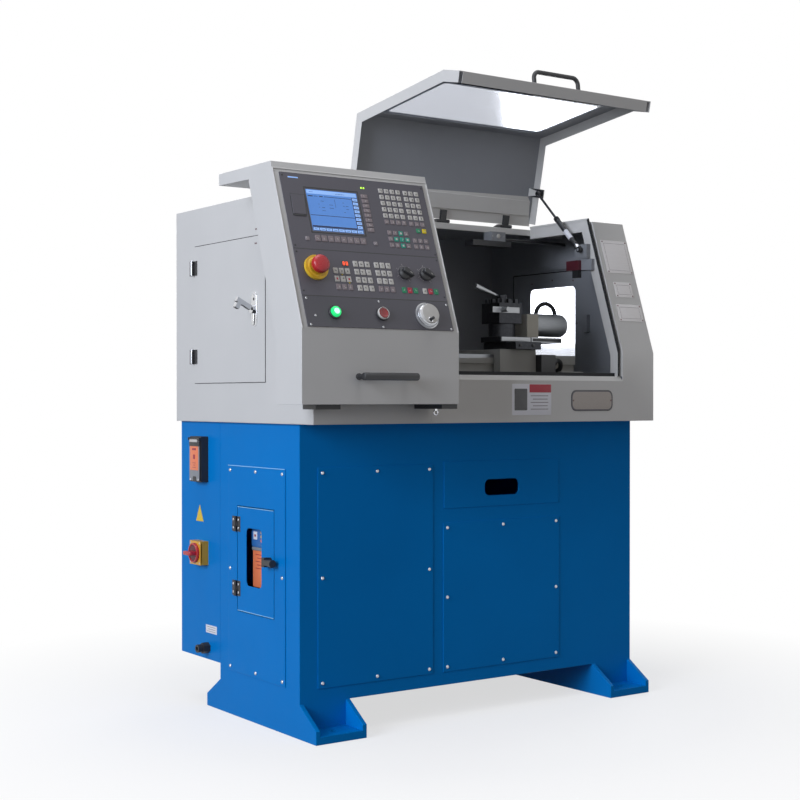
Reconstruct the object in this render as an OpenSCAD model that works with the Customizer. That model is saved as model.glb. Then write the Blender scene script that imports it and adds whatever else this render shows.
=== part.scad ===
// Benchtop CNC lathe: stand, enclosure with lift-up lid, sliding control console and the lathe inside.
// Widths run along X from the headstock end, depths along Y from the front, heights along Z from the floor.

/* [Stand] */
// Width of the stand
stand_w = 1120; // [1090:1:1200]
// Depth of the stand
stand_d = 420; // [410:1:470]
// Height of the stand's top above the floor
stand_h = 782; // [760:1:840]
// Height of the stand's underside above the floor
stand_clear = 85; // [70:1:100]
// Thickness of the stand's sheet
stand_t = 3; // [2:0.5:4]
// Width of each foot
foot_w = 148; // [120:1:170]
// How far each foot reaches past the stand at the front and at the rear
foot_out = 78; // [70:1:95]
// Thickness of the upright plates of a foot
foot_side_t = 12; // [8:1:16]
// Height of a foot's end
toe_h = 34; // [28:1:45]
// Height of the foot's base plate
base_h = 20; // [12:1:25]
// Bore of the anchor holes
anchor_d = 14; // [12:1:18]
// Distance of an anchor hole from the end of its foot
anchor_in = 40; // [25:1:45]

/* [Stand covers and drawer] */
// Thickness of the covers
cover_t = 2; // [1.5:0.5:3]
// Height of the bottom edge of the front covers above the stand's underside
cover_rise = 35; // [25:1:45]
// How far a cover laps the edge of the opening behind it
cover_lap = 22; // [18:1:30]
// Start of the left front cover from the stand's left end
cover_left_x = 52; // [40:1:60]
// Width of the left front cover
cover_left_w = 356; // [320:1:370]
// Height of the left front cover
cover_left_h = 553; // [500:1:580]
// Start of the right front cover
cover_right_x = 441; // [435:1:460]
// Width of the right front cover
cover_right_w = 405; // [380:1:430]
// Height of the right front cover
cover_right_h = 396; // [340:1:400]
// Height of the drawer front
drawer_h = 124; // [100:1:130]
// Width of the drawer front
drawer_w = 400; // [360:1:420]
// Depth of the drawer behind its front
drawer_d = 360; // [300:1:380]
// Gap between the right cover and the drawer front
drawer_gap = 38; // [30:1:45]
// Width of the drawer's finger slot
finger_w = 118; // [90:1:140]
// Height of the drawer's finger slot
finger_h = 44; // [30:1:50]
// Front edge of the left side cover, from the stand's front
side_cover_y = 68; // [60:1:80]
// Width of the left side cover
side_cover_w = 302; // [280:1:320]
// Height of the left side cover
side_cover_h = 550; // [500:1:570]
// Width of the small door in the side cover
side_door_w = 193; // [170:1:210]
// Height of the small door
side_door_h = 276; // [240:1:300]
// Height of the small door's bottom above the side cover's bottom
side_door_rise = 166; // [140:1:190]
// Width of the vent slot in the small door
vent_w = 80; // [60:1:90]
// Height of the vent slot in the small door
vent_h = 152; // [130:1:160]
// Diameter of the button heads of the cover screws
screw_head_d = 9; // [7:0.5:11]

/* [Electrical cabinet] */
// Depth of the cabinet behind the stand
cabinet_d = 233; // [200:1:260]
// Height of the cabinet's bottom above the floor
cabinet_z = 128; // [110:1:150]
// Side of the main switch's square plate
switch_plate = 65; // [58:1:72]
// Diameter of the main switch's rotary handle
switch_d = 55; // [45:1:56]
// Width of the socket box
socket_w = 67; // [60:1:90]
// Height of the socket box
socket_h = 125; // [110:1:135]

/* [Enclosure] */
// How far the enclosure overhangs the stand at each side
side_over = 11; // [8:1:20]
// How far the enclosure overhangs the stand at the front
front_over = 84; // [75:1:95]
// How far the enclosure overhangs the cabinet at the rear
rear_over = 10; // [8:1:20]
// Thickness of the enclosure's sheet
skin_t = 2; // [1.5:0.5:3]
// Height of the front sill above the stand
sill_h = 126; // [115:1:135]
// Height at which the front leans back, above the stand
bend_h = 193; // [180:1:205]
// Height of the rear roof above the stand
roof_h = 576; // [560:1:590]
// How far the lid and the guard rise above the rear roof
lid_rise = 12; // [11:0.5:14]
// Lean of the slanted front from upright, in degrees
face_tilt = 18.6; // [16:0.1:20]
// Width of the headstock guard
guard_w = 354; // [350:1:370]
// Width of the right-hand column
column_w = 121; // [110:1:130]
// Depth of the front edge of the rear roof from the stand's front
roof_y = 311; // [305:1:320]

/* [Lid] */
// Running gap at each side of the lid
lid_gap = 2.5; // [2:0.1:3]
// Depth of the lid's side flanges
lid_flange = 30; // [22:1:31]
// Height of the lid's front lip
lid_lip = 68; // [62:1:72]
// How far open the lid stands at rest, in degrees
lid_open = 78; // [60:1:78]
// Width of the lid's window
lid_window_w = 540; // [480:1:560]
// Length of the lid's window up the slope
lid_window_l = 268; // [230:1:280]
// Diameter of the gas strut's cylinder
strut_d = 15; // [12:1:18]
// Diameter of the gas strut's rod
strut_rod_d = 7; // [6:0.5:8]

/* [Doors] */
// Width of the guard's side door
guard_door_w = 394; // [360:1:400]
// Height of the guard's side door
guard_door_h = 377; // [350:1:390]
// Width of the end door's window
end_window_w = 212; // [180:1:230]
// Height of the end door's window
end_window_h = 227; // [200:1:240]

/* [Console] */
// Width of the console
con_w = 454; // [450:1:480]
// Height of the console's upright front
con_front_h = 175; // [165:1:190]
// Height of the whole console front
con_h = 582; // [575:1:600]
// How far the console's front leans back over its height
con_lean = 146; // [135:1:150]
// Width of the control and operator panels
panel_w = 420; // [410:1:422]
// Height of the control panel
panel_h = 200; // [196:1:202]
// Height of the operator panel
operator_h = 120; // [118:1:122]
// Height of the switch panel
switch_h = 78; // [70:1:79]
// Thickness of the panels
panel_t = 3; // [2:0.5:4]
// Width of the screen
screen_w = 146; // [130:1:148]
// Height of the screen
screen_h = 110; // [96:1:111]
// Diameter of the emergency stop's mushroom
stop_d = 44; // [36:1:46]
// Diameter of the override knobs
knob_d = 22; // [18:1:26]
// Diameter of the start and stop push buttons
push_d = 26; // [20:1:28]
// Diameter of the pulse handwheel
wheel_d = 62; // [52:1:64]

/* [Lathe] */
// Height of the spindle axis above the stand
spindle_h = 318; // [314:1:326]
// Depth of the spindle axis from the stand's front
spindle_y = 170; // [165:1:180]
// Length of the bed
bed_l = 900; // [880:1:905]
// Width of the bed
bed_w = 170; // [160:1:180]
// Height of the bed's ways above the stand
bed_h = 186; // [180:1:188]
// Diameter of the chuck
chuck_d = 125; // [100:1:130]
// Outer diameter of the spindle in its bearings
spindle_d = 60; // [50:1:64]
// Bore through the spindle
spindle_bore = 26; // [20:1:30]
// Diameter of the spindle motor
motor_d = 140; // [120:1:150]
// Diameter of the spindle pulley
pulley_big = 120; // [100:1:130]
// Diameter of the motor pulley
pulley_small = 80; // [60:1:90]
// Width of the drive belt
belt_w = 24; // [18:1:26]
// Diameter of the ball screw
ballscrew_d = 16; // [14:1:20]
// Side of the square tool turret
turret_w = 80; // [70:1:82]
// Height of the tool turret
turret_h = 57; // [50:1:60]
// Diameter of the turret motor
turret_motor_d = 66; // [56:1:68]

/* [Hidden] */
$fn = 48;
small_fn = 24;
// Gap between faces that move past each other
gap = 0.3;
// Radial clearance of a running fit
fit = 0.1;

// Stand
drawer_x = cover_right_x + (cover_right_w - drawer_w) / 2;
cover_z = stand_clear + cover_rise;
cover_right_top = cover_z + cover_right_h;
drawer_z = cover_right_top + drawer_gap;
drawer_top = drawer_z + drawer_h;
drawer_inset = 8;
drawer_t = 2;
slide_ledge = 16;
screw_in = 13;
screw_shank_d = 5;
screw_hole_d = 5.6;
side_cover_z = cover_z - 2;
side_door_y = side_cover_y + (side_cover_w - side_door_w) / 2 + 2.5;
side_door_z = side_cover_z + side_door_rise;
side_hinge_y = side_door_y + side_door_w + 4;
hinge_h = 40;
hinge_pin_d = 4;
hinge_barrel_d = 9;
hinge_leaf_t = 2.5;
hinge_reach = hinge_barrel_d / 2;
hinge_leaf_w = 21;
side_latch_z = side_door_z + side_door_h / 2 + 6;
side_latch_y = side_door_y + 18;
bulkhead_x = 136;
inverter_d = 84;
inverter_w = 120;
inverter_h = 190;

// Cabinet
cabinet_t = 2;
cabinet_y = stand_d;
cabinet_rear = cabinet_y + cabinet_d;
cabinet_lip = 40;
switch_y = cabinet_y + 102;
switch_z = stand_h - 362;
switch_plate_t = 24;
switch_shaft_d = 12;
socket_y = cabinet_y + 69;
socket_z = stand_h - 166;
socket_deep = 22;
gland_y = cabinet_y + 70;
gland_z = cabinet_z + 32;
cab_door_in = 14;
cab_door_x1 = stand_w - 30;
cab_hinge_x = cab_door_x1 + 4;

// Enclosure
floor_z = stand_h + skin_t;
enc_x0 = -side_over;
enc_x1 = stand_w + side_over;
enc_y0 = -front_over;
enc_y1 = cabinet_rear + rear_over;
sill_z = stand_h + sill_h;
bend_z = stand_h + bend_h;
roof_z = stand_h + roof_h;
lid_z = roof_z + lid_rise;
guard_x1 = enc_x0 + guard_w;
column_x0 = enc_x1 - column_w;
sill_bevel = 13;
sill_y1 = enc_y0 + 34;
beam_d = 6;
beam_h = 18;
// Depth of the slanted front at a height
function face_y(z) = enc_y0 + (z - bend_z) * tan(face_tilt);
shell_outline = [[enc_y0, stand_h], [enc_y1, stand_h], [enc_y1, roof_z], [face_y(roof_z), roof_z], [enc_y0, bend_z]];
guard_outline = [[enc_y0, floor_z], [enc_y1, floor_z], [enc_y1, lid_z], [face_y(lid_z), lid_z], [enc_y0, bend_z]];
channel_w = 7;
flange_t = 3;
channel_deep = lid_flange + 8;
flange_top = 8;
flange_l = guard_x1 + channel_w + flange_t;
flange_r = column_x0 - channel_w - flange_t;
seal_gap = 0.4;

// Lid, with its outline followed from the rear edge down to the lip's hem
pivot_y = roof_y + 11;
pivot_z = lid_z - 6;
lid_x0 = guard_x1 + lid_gap;
lid_x1 = column_x0 - lid_gap;
lid_mid = (lid_x0 + lid_x1) / 2;
lid_foot_z = bend_z + 11;
lid_foot_y = face_y(lid_foot_z);
lip_z = lid_foot_z - lid_lip;
lid_path = [[pivot_y - 6, lid_z], [face_y(lid_z), lid_z], [lid_foot_y, lid_foot_z], [lid_foot_y, lip_z]];
lid_slope = norm(lid_path[1] - lid_path[2]);
lid_window_up = 60;
lid_handle_x = lid_mid + 68;
lid_handle_w = 156;
lid_handle_h = 45;
lid_handle_d = 12;
hinge_block_w = 46;
hinge_block_x = [lid_x0 + 97, lid_mid, lid_x1 - 97];
block_barrel = 5.5;
block_pin = 2.5;

// Gas strut, between a stud beside the right-hand flange and a stud on the lid
strut_x = flange_r - 25;
strut_y = pivot_y - 262;
strut_z = pivot_z - 88;
stud_back = 109.1;
stud_down = 54.9;
strut_eye_w = 10;
strut_ball_d = 8;
strut_eye_d = 16;
strut_shut = norm([pivot_y - stud_back - strut_y, pivot_z - stud_down - strut_z]);
stud_open = [pivot_y - stud_back * cos(lid_open) - stud_down * sin(lid_open),
             pivot_z - stud_down * cos(lid_open) + stud_back * sin(lid_open)];
strut_reach = norm(stud_open - [strut_y, strut_z]);
strut_angle = atan2(stud_open[1] - strut_z, stud_open[0] - strut_y);
strut_body_l = strut_shut - 12;

// Doors
guard_door_y = spindle_y - 19;
guard_door_z = stand_h + 106;
guard_door_lap = 12;
door_t = 2;
guard_hinge_y = guard_door_y + guard_door_w + 4;
lock_y = guard_door_y + 51;
lock_z = guard_door_z + guard_door_h / 2;
end_open_y = 229;
end_open_w = 317;
end_open_z = stand_h + 90;
end_open_h = 364;
end_lap = 12;
end_hinge_y = end_open_y + end_open_w + end_lap + 4;
end_window_y = end_open_y + 25;
end_window_z = stand_h + 181;
end_knob_y = end_open_y + 6;
end_catch_z = stand_h + 290;

// Console
con_x = -119.5;
con_y = enc_y0 - 127.5;
con_z = stand_h + 50;
con_back = enc_y0 - 10;
con_bend = con_z + con_front_h;
con_top = con_z + con_h;
con_tilt = atan2(con_lean, con_h - con_front_h);
con_slope = norm([con_lean, con_h - con_front_h]);
hood_z = lid_z + 12;
hood_y = enc_y0 + 281;
con_t = 2;
// Line of the console's rear face, a steady distance in front of the guard
function con_rear(z) = face_y(z) - 10 / cos(face_tilt);
con_outline = [[con_y, con_z], [con_back, con_z], [con_back, bend_z - 10 * tan(face_tilt / 2) + 2],
    [con_rear(hood_z), hood_z], [hood_y, hood_z + 3], [hood_y, con_top], [con_y + con_lean, con_top],
    [con_y, con_bend]];
panel_x = con_x + (con_w - panel_w) / 2;
switch_s = 6;
operator_s = switch_s + switch_h;
control_s = operator_s + operator_h;
rail_w = 60;
rail_h = 9;
rail_t = 2;
rail_y = enc_y0 + 204;
rail_x0 = 12;
rail_l = 316;
con_handle_w = 190;
con_handle_d = 16;
con_handle_out = 40;
stop_x = panel_x + 50;
stop_s = operator_s + 71;
knob_x = [panel_x + 306, panel_x + 369];
knob_s = operator_s + 71;
push_x = [panel_x + 80, panel_x + 214];
push_s = switch_s + 37;
wheel_x = panel_x + 346;
shaft_d = 8;
button_d = 12;
screen_x = panel_x + 64;
screen_s = control_s + 50;
latch_bar_x = con_x + con_w - 46;
pin_d = 8;

// Lathe
axis_z = stand_h + spindle_h;
bed_x = 60;
bed_y = spindle_y - 25 - bed_w / 2;
bed_z = stand_h + bed_h;
bed_bottom = stand_h + 68;
rail_side = 34;
way_h = 26;
bed_web = 18;
screw_y = bed_y - 15;
screw_z = stand_h + 118;
head_x0 = 90;
head_x1 = guard_x1 - 13;
head_y0 = spindle_y - 85;
head_y1 = spindle_y + 85;
head_top = axis_z + 90;
nose_x = guard_x1 + 2;
chuck_x = nose_x + 20;
chuck_l = 60;
chuck_face = chuck_x + chuck_l;
jaw_w = 20;
jaw_out = 30;
jaw_slot = 14;
belt_x = 42;
motor_y = spindle_y + 230;
motor_z = axis_z - 80;
motor_l = 225;
motor_x = head_x0 + 10;
belt_t = 4;
turret_x = bed_x + bed_l - 244;
turret_y = screw_y + 50;
turret_z = bed_z + 87;
saddle_x = turret_x - 58;
saddle_w = 129;
saddle_t = 14;
slide_z = bed_z + saddle_t;
slide_t = 21;
deck_t = 15;
deck_z = slide_z + slide_t;
base_z = deck_z + deck_t;
turret_base_d = 76;
housing_x = turret_x + 62;
housing_w = 41;
housing_top = base_z + 65;
can_x = housing_x + housing_w;
can_l = 121;
can_z = base_z + turret_motor_d / 2 + 4;
gear_box = 52;

// Helpers

// Block between two corners
module block(x0, x1, y0, y1, z0, z1) {
    translate([x0, y0, z0]) cube([x1 - x0, y1 - y0, z1 - z0]);
}

// Outline given in depth and height, drawn out along the width
module across(x0, x1, points) {
    translate([x0, 0, 0]) rotate([90, 0, 90]) linear_extrude(x1 - x0) polygon(points);
}

// Round bar along X
module bar_x(x0, x1, y, z, d) {
    translate([x0, y, z]) rotate([0, 90, 0]) cylinder(d = d, h = x1 - x0);
}

// Round bar along Y
module bar_y(x, y0, y1, z, d) {
    translate([x, y0, z]) rotate([-90, 0, 0]) cylinder(d = d, h = y1 - y0);
}

// Round bar along Z
module bar_z(x, y, z0, z1, d) {
    translate([x, y, z0]) cylinder(d = d, h = z1 - z0);
}

// Flat rectangle with round corners, centred
module round_rect(w, h, r) {
    union() {
        square([w - 2 * r, h], center = true);
        square([w, h - 2 * r], center = true);
        for (i = [-1, 1], j = [-1, 1]) translate([i * (w / 2 - r), j * (h / 2 - r)]) circle(r);
    }
}

function unit(v) = v / norm(v);
function left(v) = [-v[1], v[0]];
// Corner of a path moved to its left by t
function step_aside(p, i, t) =
    let (n = len(p) - 1, j = max(i, 1), k = min(i + 1, n),
         a = left(unit(p[j] - p[j - 1])), b = left(unit(p[k] - p[k - 1])))
    p[i] + t * (a + b) / (1 + a * b);
// Bent sheet of thickness t along an open path
function sheet(p, t) = concat(p, [for (i = [len(p) - 1:-1:0]) step_aside(p, i, t)]);
// Closed outline moved inwards by t
function inset(p, t) =
    let (n = len(p))
    [for (i = [0:n - 1])
        let (a = left(unit(p[i] - p[(i + n - 1) % n])), b = left(unit(p[(i + 1) % n] - p[i])))
        p[i] + t * (a + b) / (1 + a * b)];

// Holes or screws spread over a cover: across and up from its lower left corner
function screw_grid(w, h) = [for (x = [screw_in, w / 2, w - screw_in], z = [screw_in, h / 2, h - screw_in])
    if (x != w / 2 || z != h / 2) [x, z]];

// Upright butt hinge whose axis stands clear of a face: the leaf and barrels that stay
module hinge_fixed(z, packing = 0) {
    third = hinge_h / 3;
    for (start = [z, z + 2 * third + gap / 2]) {
        translate([0, 0, start]) cylinder(d = hinge_barrel_d, h = third - gap / 2);
        translate([hinge_reach - hinge_leaf_t, 0, start]) cube([hinge_leaf_t, hinge_leaf_w, third - gap / 2]);
    }
    translate([0, 0, z]) cylinder(d = hinge_pin_d, h = hinge_h, $fn = small_fn);
    // Flange that ties both ends of the leaf behind the moving barrel, over its packing
    translate([hinge_reach - hinge_leaf_t, 6, z]) cube([hinge_leaf_t + packing, hinge_leaf_w - 6, hinge_h]);
}

// The leaf and middle barrel that move with a door
module hinge_moving(z) {
    third = hinge_h / 3;
    difference() {
        union() {
            translate([0, 0, z + third + gap / 2]) cylinder(d = hinge_barrel_d, h = third - gap);
            translate([hinge_reach - hinge_leaf_t, -hinge_leaf_w, z + third + gap / 2])
                cube([hinge_leaf_t, hinge_leaf_w, third - gap]);
            translate([hinge_reach - hinge_leaf_t, -hinge_leaf_w, z])
                cube([hinge_leaf_t, hinge_leaf_w - 6, hinge_h]);
        }
        translate([0, 0, z]) cylinder(d = hinge_pin_d + 2 * fit, h = hinge_h, $fn = small_fn);
    }
}

// Heights of the two hinges of a door
function hinge_pair(z, h) = [z + h * 0.14, z + h * 0.875 - hinge_h * 0.8];

// Button-head screw pointing along +Y, its head seated at the origin
module button_screw(shank) {
    rotate([-90, 0, 0]) {
        translate([0, 0, -3]) cylinder(d1 = screw_head_d - 3, d2 = screw_head_d, h = 1.6, $fn = small_fn);
        translate([0, 0, -1.4]) cylinder(d = screw_head_d, h = 1.4, $fn = small_fn);
        cylinder(d = screw_shank_d, h = shank, $fn = small_fn);
    }
}

// Stand

module stand_foot() {
    outline = [[-foot_out, 0], [stand_d + foot_out, 0], [stand_d + foot_out, toe_h], [stand_d, stand_clear],
        [0, stand_clear], [-foot_out, toe_h]];
    difference() {
        union() {
            across(0, foot_side_t, outline);
            across(foot_w - foot_side_t, foot_w, outline);
            block(0, foot_w, -foot_out, stand_d + foot_out, 0, base_h);
            block(0, foot_w, 0, stand_t, 0, stand_clear);
            block(0, foot_w, stand_d - stand_t, stand_d, 0, stand_clear);
        }
        for (y = [-foot_out + anchor_in, stand_d + foot_out - anchor_in])
            bar_z(foot_w / 2, y, -1, base_h + 1, anchor_d);
    }
}

module stand_frame() color("#0078c8") {
    front_edge = drawer_x + drawer_inset;
    rear_edge = drawer_x + drawer_w - drawer_inset;
    difference() {
        union() {
            difference() {
                block(0, stand_w, 0, stand_d, stand_clear, stand_h);
                block(stand_t, stand_w - stand_t, stand_t, stand_d - stand_t, stand_clear + stand_t, stand_h - stand_t);
            }
            block(bulkhead_x, bulkhead_x + stand_t, 0, stand_d, stand_clear, stand_h);
            // Runners that carry the drawer
            for (side = [0, 1]) {
                x0 = side == 0 ? front_edge - 2 - stand_t : rear_edge + 2;
                ledge = side == 0 ? front_edge - 2 - stand_t : rear_edge + 2 + stand_t - slide_ledge;
                block(x0, x0 + stand_t, 0, stand_d, drawer_z - 8, drawer_top + 6);
                block(ledge, ledge + slide_ledge, 0, stand_d, drawer_z + 3 - gap - stand_t, drawer_z + 3 - gap);
            }
        }
        // Openings behind the covers, the drawer and the side cover
        block(cover_left_x + cover_lap, cover_left_x + cover_left_w - cover_lap, -1, stand_t + 1,
            cover_z + cover_lap, cover_z + cover_left_h - cover_lap);
        block(cover_right_x + cover_lap, cover_right_x + cover_right_w - cover_lap, -1, stand_t + 1,
            cover_z + cover_lap, cover_right_top - cover_lap);
        block(front_edge - 2, rear_edge + 2, -1, stand_t + 1, drawer_z + 3 - gap, drawer_top - 2);
        block(-1, stand_t + 1, side_cover_y + cover_lap, side_cover_y + side_cover_w - cover_lap,
            side_cover_z + cover_lap, side_cover_z + side_cover_h - cover_lap);
        for (s = screw_grid(cover_left_w, cover_left_h))
            bar_y(cover_left_x + s[0], -1, stand_t + 1, cover_z + s[1], screw_hole_d, $fn = small_fn);
        for (s = screw_grid(cover_right_w, cover_right_h))
            bar_y(cover_right_x + s[0], -1, stand_t + 1, cover_z + s[1], screw_hole_d, $fn = small_fn);
        for (s = screw_grid(side_cover_w, side_cover_h))
            bar_x(-1, stand_t + 1, side_cover_y + s[0], side_cover_z + s[1], screw_hole_d, $fn = small_fn);
    }
    stand_foot();
    translate([stand_w - foot_w, 0, 0]) stand_foot();
}

module front_cover(x, w, h) {
    difference() {
        block(x, x + w, -cover_t, 0, cover_z, cover_z + h);
        for (s = screw_grid(w, h)) bar_y(x + s[0], -cover_t - 1, 1, cover_z + s[1], screw_hole_d, $fn = small_fn);
    }
}

module front_covers() color("#0078c8") {
    front_cover(cover_left_x, cover_left_w, cover_left_h);
    front_cover(cover_right_x, cover_right_w, cover_right_h);
}

module drawer() color("#0078c8") {
    x0 = drawer_x + drawer_inset;
    x1 = drawer_x + drawer_w - drawer_inset;
    difference() {
        union() {
            block(drawer_x, drawer_x + drawer_w, -cover_t, 0, drawer_z, drawer_top);
            block(x0, x1, 0, drawer_d, drawer_z + 3, drawer_top - 12);
        }
        block(x0 + drawer_t, x1 - drawer_t, drawer_t, drawer_d - drawer_t, drawer_z + 3 + drawer_t, drawer_top);
        translate([drawer_x + drawer_w / 2 - 4, drawer_t + 1, drawer_z + drawer_h / 2 - 11])
            rotate([90, 0, 0]) linear_extrude(cover_t + drawer_t + 2) round_rect(finger_w, finger_h, 15);
    }
}

module side_cover() color("#0078c8") {
    difference() {
        block(-cover_t, 0, side_cover_y, side_cover_y + side_cover_w, side_cover_z, side_cover_z + side_cover_h);
        block(-cover_t - 1, 1, side_door_y - 2, side_door_y + side_door_w + 2, side_door_z - 2,
            side_door_z + side_door_h + 2);
        for (s = screw_grid(side_cover_w, side_cover_h))
            bar_x(-cover_t - 1, 1, side_cover_y + s[0], side_cover_z + s[1], screw_hole_d, $fn = small_fn);
    }
}

module side_door() color("#0078c8") {
    mid_y = side_door_y + side_door_w / 2;
    difference() {
        block(-cover_t, 0, side_door_y, side_door_y + side_door_w, side_door_z, side_door_z + side_door_h);
        translate([-cover_t - 1, mid_y + 8, side_door_z + side_door_h / 2 + 8]) rotate([90, 0, 90])
            linear_extrude(cover_t + 2) round_rect(vent_w, vent_h, 14);
        bar_x(-cover_t - 1, 1, side_latch_y, side_latch_z, button_d + 2 * fit);
    }
    translate([-cover_t - hinge_reach, side_hinge_y, 0])
        for (z = hinge_pair(side_door_z, side_door_h)) hinge_moving(z);
}

module side_door_latch() color("#1c1c1e") {
    bar_x(-cover_t - 8, -cover_t, side_latch_y, side_latch_z, 24);
    bar_x(-cover_t - 8, 12, side_latch_y, side_latch_z, button_d);
    block(-cover_t - 22, -cover_t - 7, side_latch_y - 7, side_latch_y + 7, side_latch_z - 12, side_latch_z + 12);
    translate([-cover_t - 18, side_latch_y, side_latch_z]) rotate([90, 0, 0]) cylinder(d1 = 15, d2 = 20, h = 44);
    block(6, 10, side_latch_y - 8, side_latch_y + 8, side_latch_z - 8, side_latch_z + 36);
}

module inverter() color("#3f4a52") {
    y0 = side_door_y + side_door_w / 2 + 8 - inverter_w / 2;
    z0 = side_door_z + side_door_h / 2 + 8 - inverter_h / 2;
    block(bulkhead_x - inverter_d, bulkhead_x, y0, y0 + inverter_w, z0, z0 + inverter_h);
}

module cover_screws() color("#d0d0d0") {
    for (s = screw_grid(cover_left_w, cover_left_h))
        translate([cover_left_x + s[0], -cover_t, cover_z + s[1]]) button_screw(cover_t + stand_t + 2);
    for (s = screw_grid(cover_right_w, cover_right_h))
        translate([cover_right_x + s[0], -cover_t, cover_z + s[1]]) button_screw(cover_t + stand_t + 2);
    for (s = screw_grid(side_cover_w, side_cover_h))
        translate([-cover_t, side_cover_y + s[0], side_cover_z + s[1]]) rotate([0, 0, -90])
            button_screw(cover_t + stand_t + 2);
}

// Electrical cabinet

module electrical_cabinet() color("#0078c8") {
    difference() {
        union() {
            difference() {
                block(0, stand_w, cabinet_y, cabinet_rear, cabinet_z, stand_h);
                block(cabinet_t, stand_w - cabinet_t, cabinet_y + cabinet_t, cabinet_rear - cabinet_t,
                    cabinet_z + cabinet_t, stand_h - cabinet_t);
                block(cabinet_lip, stand_w - cabinet_lip, cabinet_rear - cabinet_t - 1, cabinet_rear + 1,
                    cabinet_z + cabinet_lip, stand_h - cabinet_lip);
            }
            // Switch plate, socket box and cable gland
            block(-switch_plate_t, 0, switch_y - switch_plate / 2, switch_y + switch_plate / 2,
                switch_z - switch_plate / 2, switch_z + switch_plate / 2);
            block(-socket_deep, 0, socket_y, socket_y + socket_w, socket_z, socket_z + socket_h);
            for (y = [socket_y, socket_y + socket_w - 3 + gap])
                block(-socket_deep - 7, -socket_deep, y, y + 3 - gap, socket_z + socket_h - 11, socket_z + socket_h - 3);
            bar_x(-20, 0, gland_y, gland_z, 30, $fn = 6);
            bar_x(-35, 0, gland_y, gland_z, 22);
        }
        block(-socket_deep - 1, -4, socket_y + 8, socket_y + socket_w - 8, socket_z + 8, socket_z + socket_h - 12);
        bar_x(-switch_plate_t - 1, cabinet_t + 1, switch_y, switch_z, switch_shaft_d + 2 * fit);
        bar_x(-36, cabinet_t + 1, gland_y, gland_z, 12, $fn = small_fn);
    }
    // Mounting plate with contactors and drives
    plate_y = cabinet_y + cabinet_t;
    block(60, stand_w - 60, plate_y, plate_y + 3, cabinet_z + 60, stand_h - 60);
    for (x = [100:95:stand_w - 160]) block(x, x + 75, plate_y + 3, plate_y + 93, stand_h - 240, stand_h - 90);
    for (x = [100:150:stand_w - 200]) block(x, x + 120, plate_y + 3, plate_y + 123, cabinet_z + 110, cabinet_z + 290);
}

module cabinet_door() color("#0078c8") {
    block(cab_door_in, cab_door_x1, cabinet_rear, cabinet_rear + cabinet_t, cabinet_z + cab_door_in,
        stand_h - cab_door_in);
    translate([cab_hinge_x, cabinet_rear + cabinet_t + hinge_reach, 0]) rotate([0, 0, -90])
        for (z = hinge_pair(cabinet_z, stand_h - cabinet_z)) hinge_moving(z);
}

module main_switch_handle() color("#c8202c") {
    bar_x(-switch_plate_t - 7, -switch_plate_t, switch_y, switch_z, switch_d);
    block(-switch_plate_t - 28, -switch_plate_t - 6, switch_y - switch_d * 0.42, switch_y + switch_d * 0.42,
        switch_z - switch_d * 0.11, switch_z + switch_d * 0.11);
    bar_x(-switch_plate_t - 5, 20, switch_y, switch_z, switch_shaft_d);
}

module socket_flap() color("#222226") {
    x = -socket_deep - gap;
    block(x - 3, x, socket_y + 3, socket_y + socket_w - 3, socket_z + 2, socket_z + socket_h - 9);
    bar_y(x - 3, socket_y + 3, socket_y + socket_w - 3, socket_z + socket_h - 7, 6, $fn = small_fn);
}

// Black hinge leaves, pins and strut bracket that stay with the frame
module hinge_brackets() color("#1c1c1e") {
    translate([-cover_t - hinge_reach, side_hinge_y, 0])
        for (z = hinge_pair(side_door_z, side_door_h)) hinge_fixed(z);
    translate([enc_x0 - door_t - hinge_reach, guard_hinge_y, 0])
        for (z = hinge_pair(guard_door_z, guard_door_h)) hinge_fixed(z, door_t);
    translate([enc_x1 + door_t + hinge_reach, end_hinge_y, 0]) mirror([1, 0, 0])
        for (z = hinge_pair(end_open_z, end_open_h)) hinge_fixed(z, door_t);
    translate([cab_hinge_x, cabinet_rear + cabinet_t + hinge_reach, 0]) rotate([0, 0, -90])
        for (z = hinge_pair(cabinet_z, stand_h - cabinet_z)) hinge_fixed(z, cabinet_t);
    // Fixed blocks of the lid's hinges on the rear roof
    for (x = hinge_block_x) {
        for (part = [[-hinge_block_w / 2, -10 - gap], [10 + gap, hinge_block_w / 2]]) {
            across(x + part[0], x + part[1], [[pivot_y, roof_z + 0.5], [pivot_y + 8, roof_z],
                [pivot_y + 32, roof_z], [pivot_y + 32, roof_z + 5], [pivot_y + 10, pivot_z + block_barrel],
                [pivot_y, pivot_z + block_barrel]]);
            bar_x(x + part[0], x + part[1], pivot_y, pivot_z, 2 * block_barrel);
        }
        bar_x(x - hinge_block_w / 2, x + hinge_block_w / 2, pivot_y, pivot_z, 2 * block_pin, $fn = small_fn);
    }
    // Lower bracket and ball stud of the gas strut
    plate_x = strut_x + strut_eye_w / 2 + 5;
    block(plate_x, plate_x + 3, strut_y - 20, strut_y + 30, strut_z - 24, strut_z + 16);
    block(plate_x, flange_r, strut_y - 20, strut_y - 3, strut_z - 24, strut_z + 16);
    bar_x(strut_x - strut_eye_w / 2 - 2, plate_x, strut_y, strut_z, strut_ball_d);
}

// Enclosure

// Strip that follows the edge of the lid's opening, between two depths below the lid's outer surface
module edge_strip(x0, x1, near, deep) {
    intersection() {
        block(x0 - 1, x1 + 1, enc_y0 - 1, roof_y, sill_z, lid_z + 1);
        difference() {
            across(x0, x1, inset(guard_outline, near));
            across(x0 - 1, x1 + 1, inset(guard_outline, deep));
        }
    }
}

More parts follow.
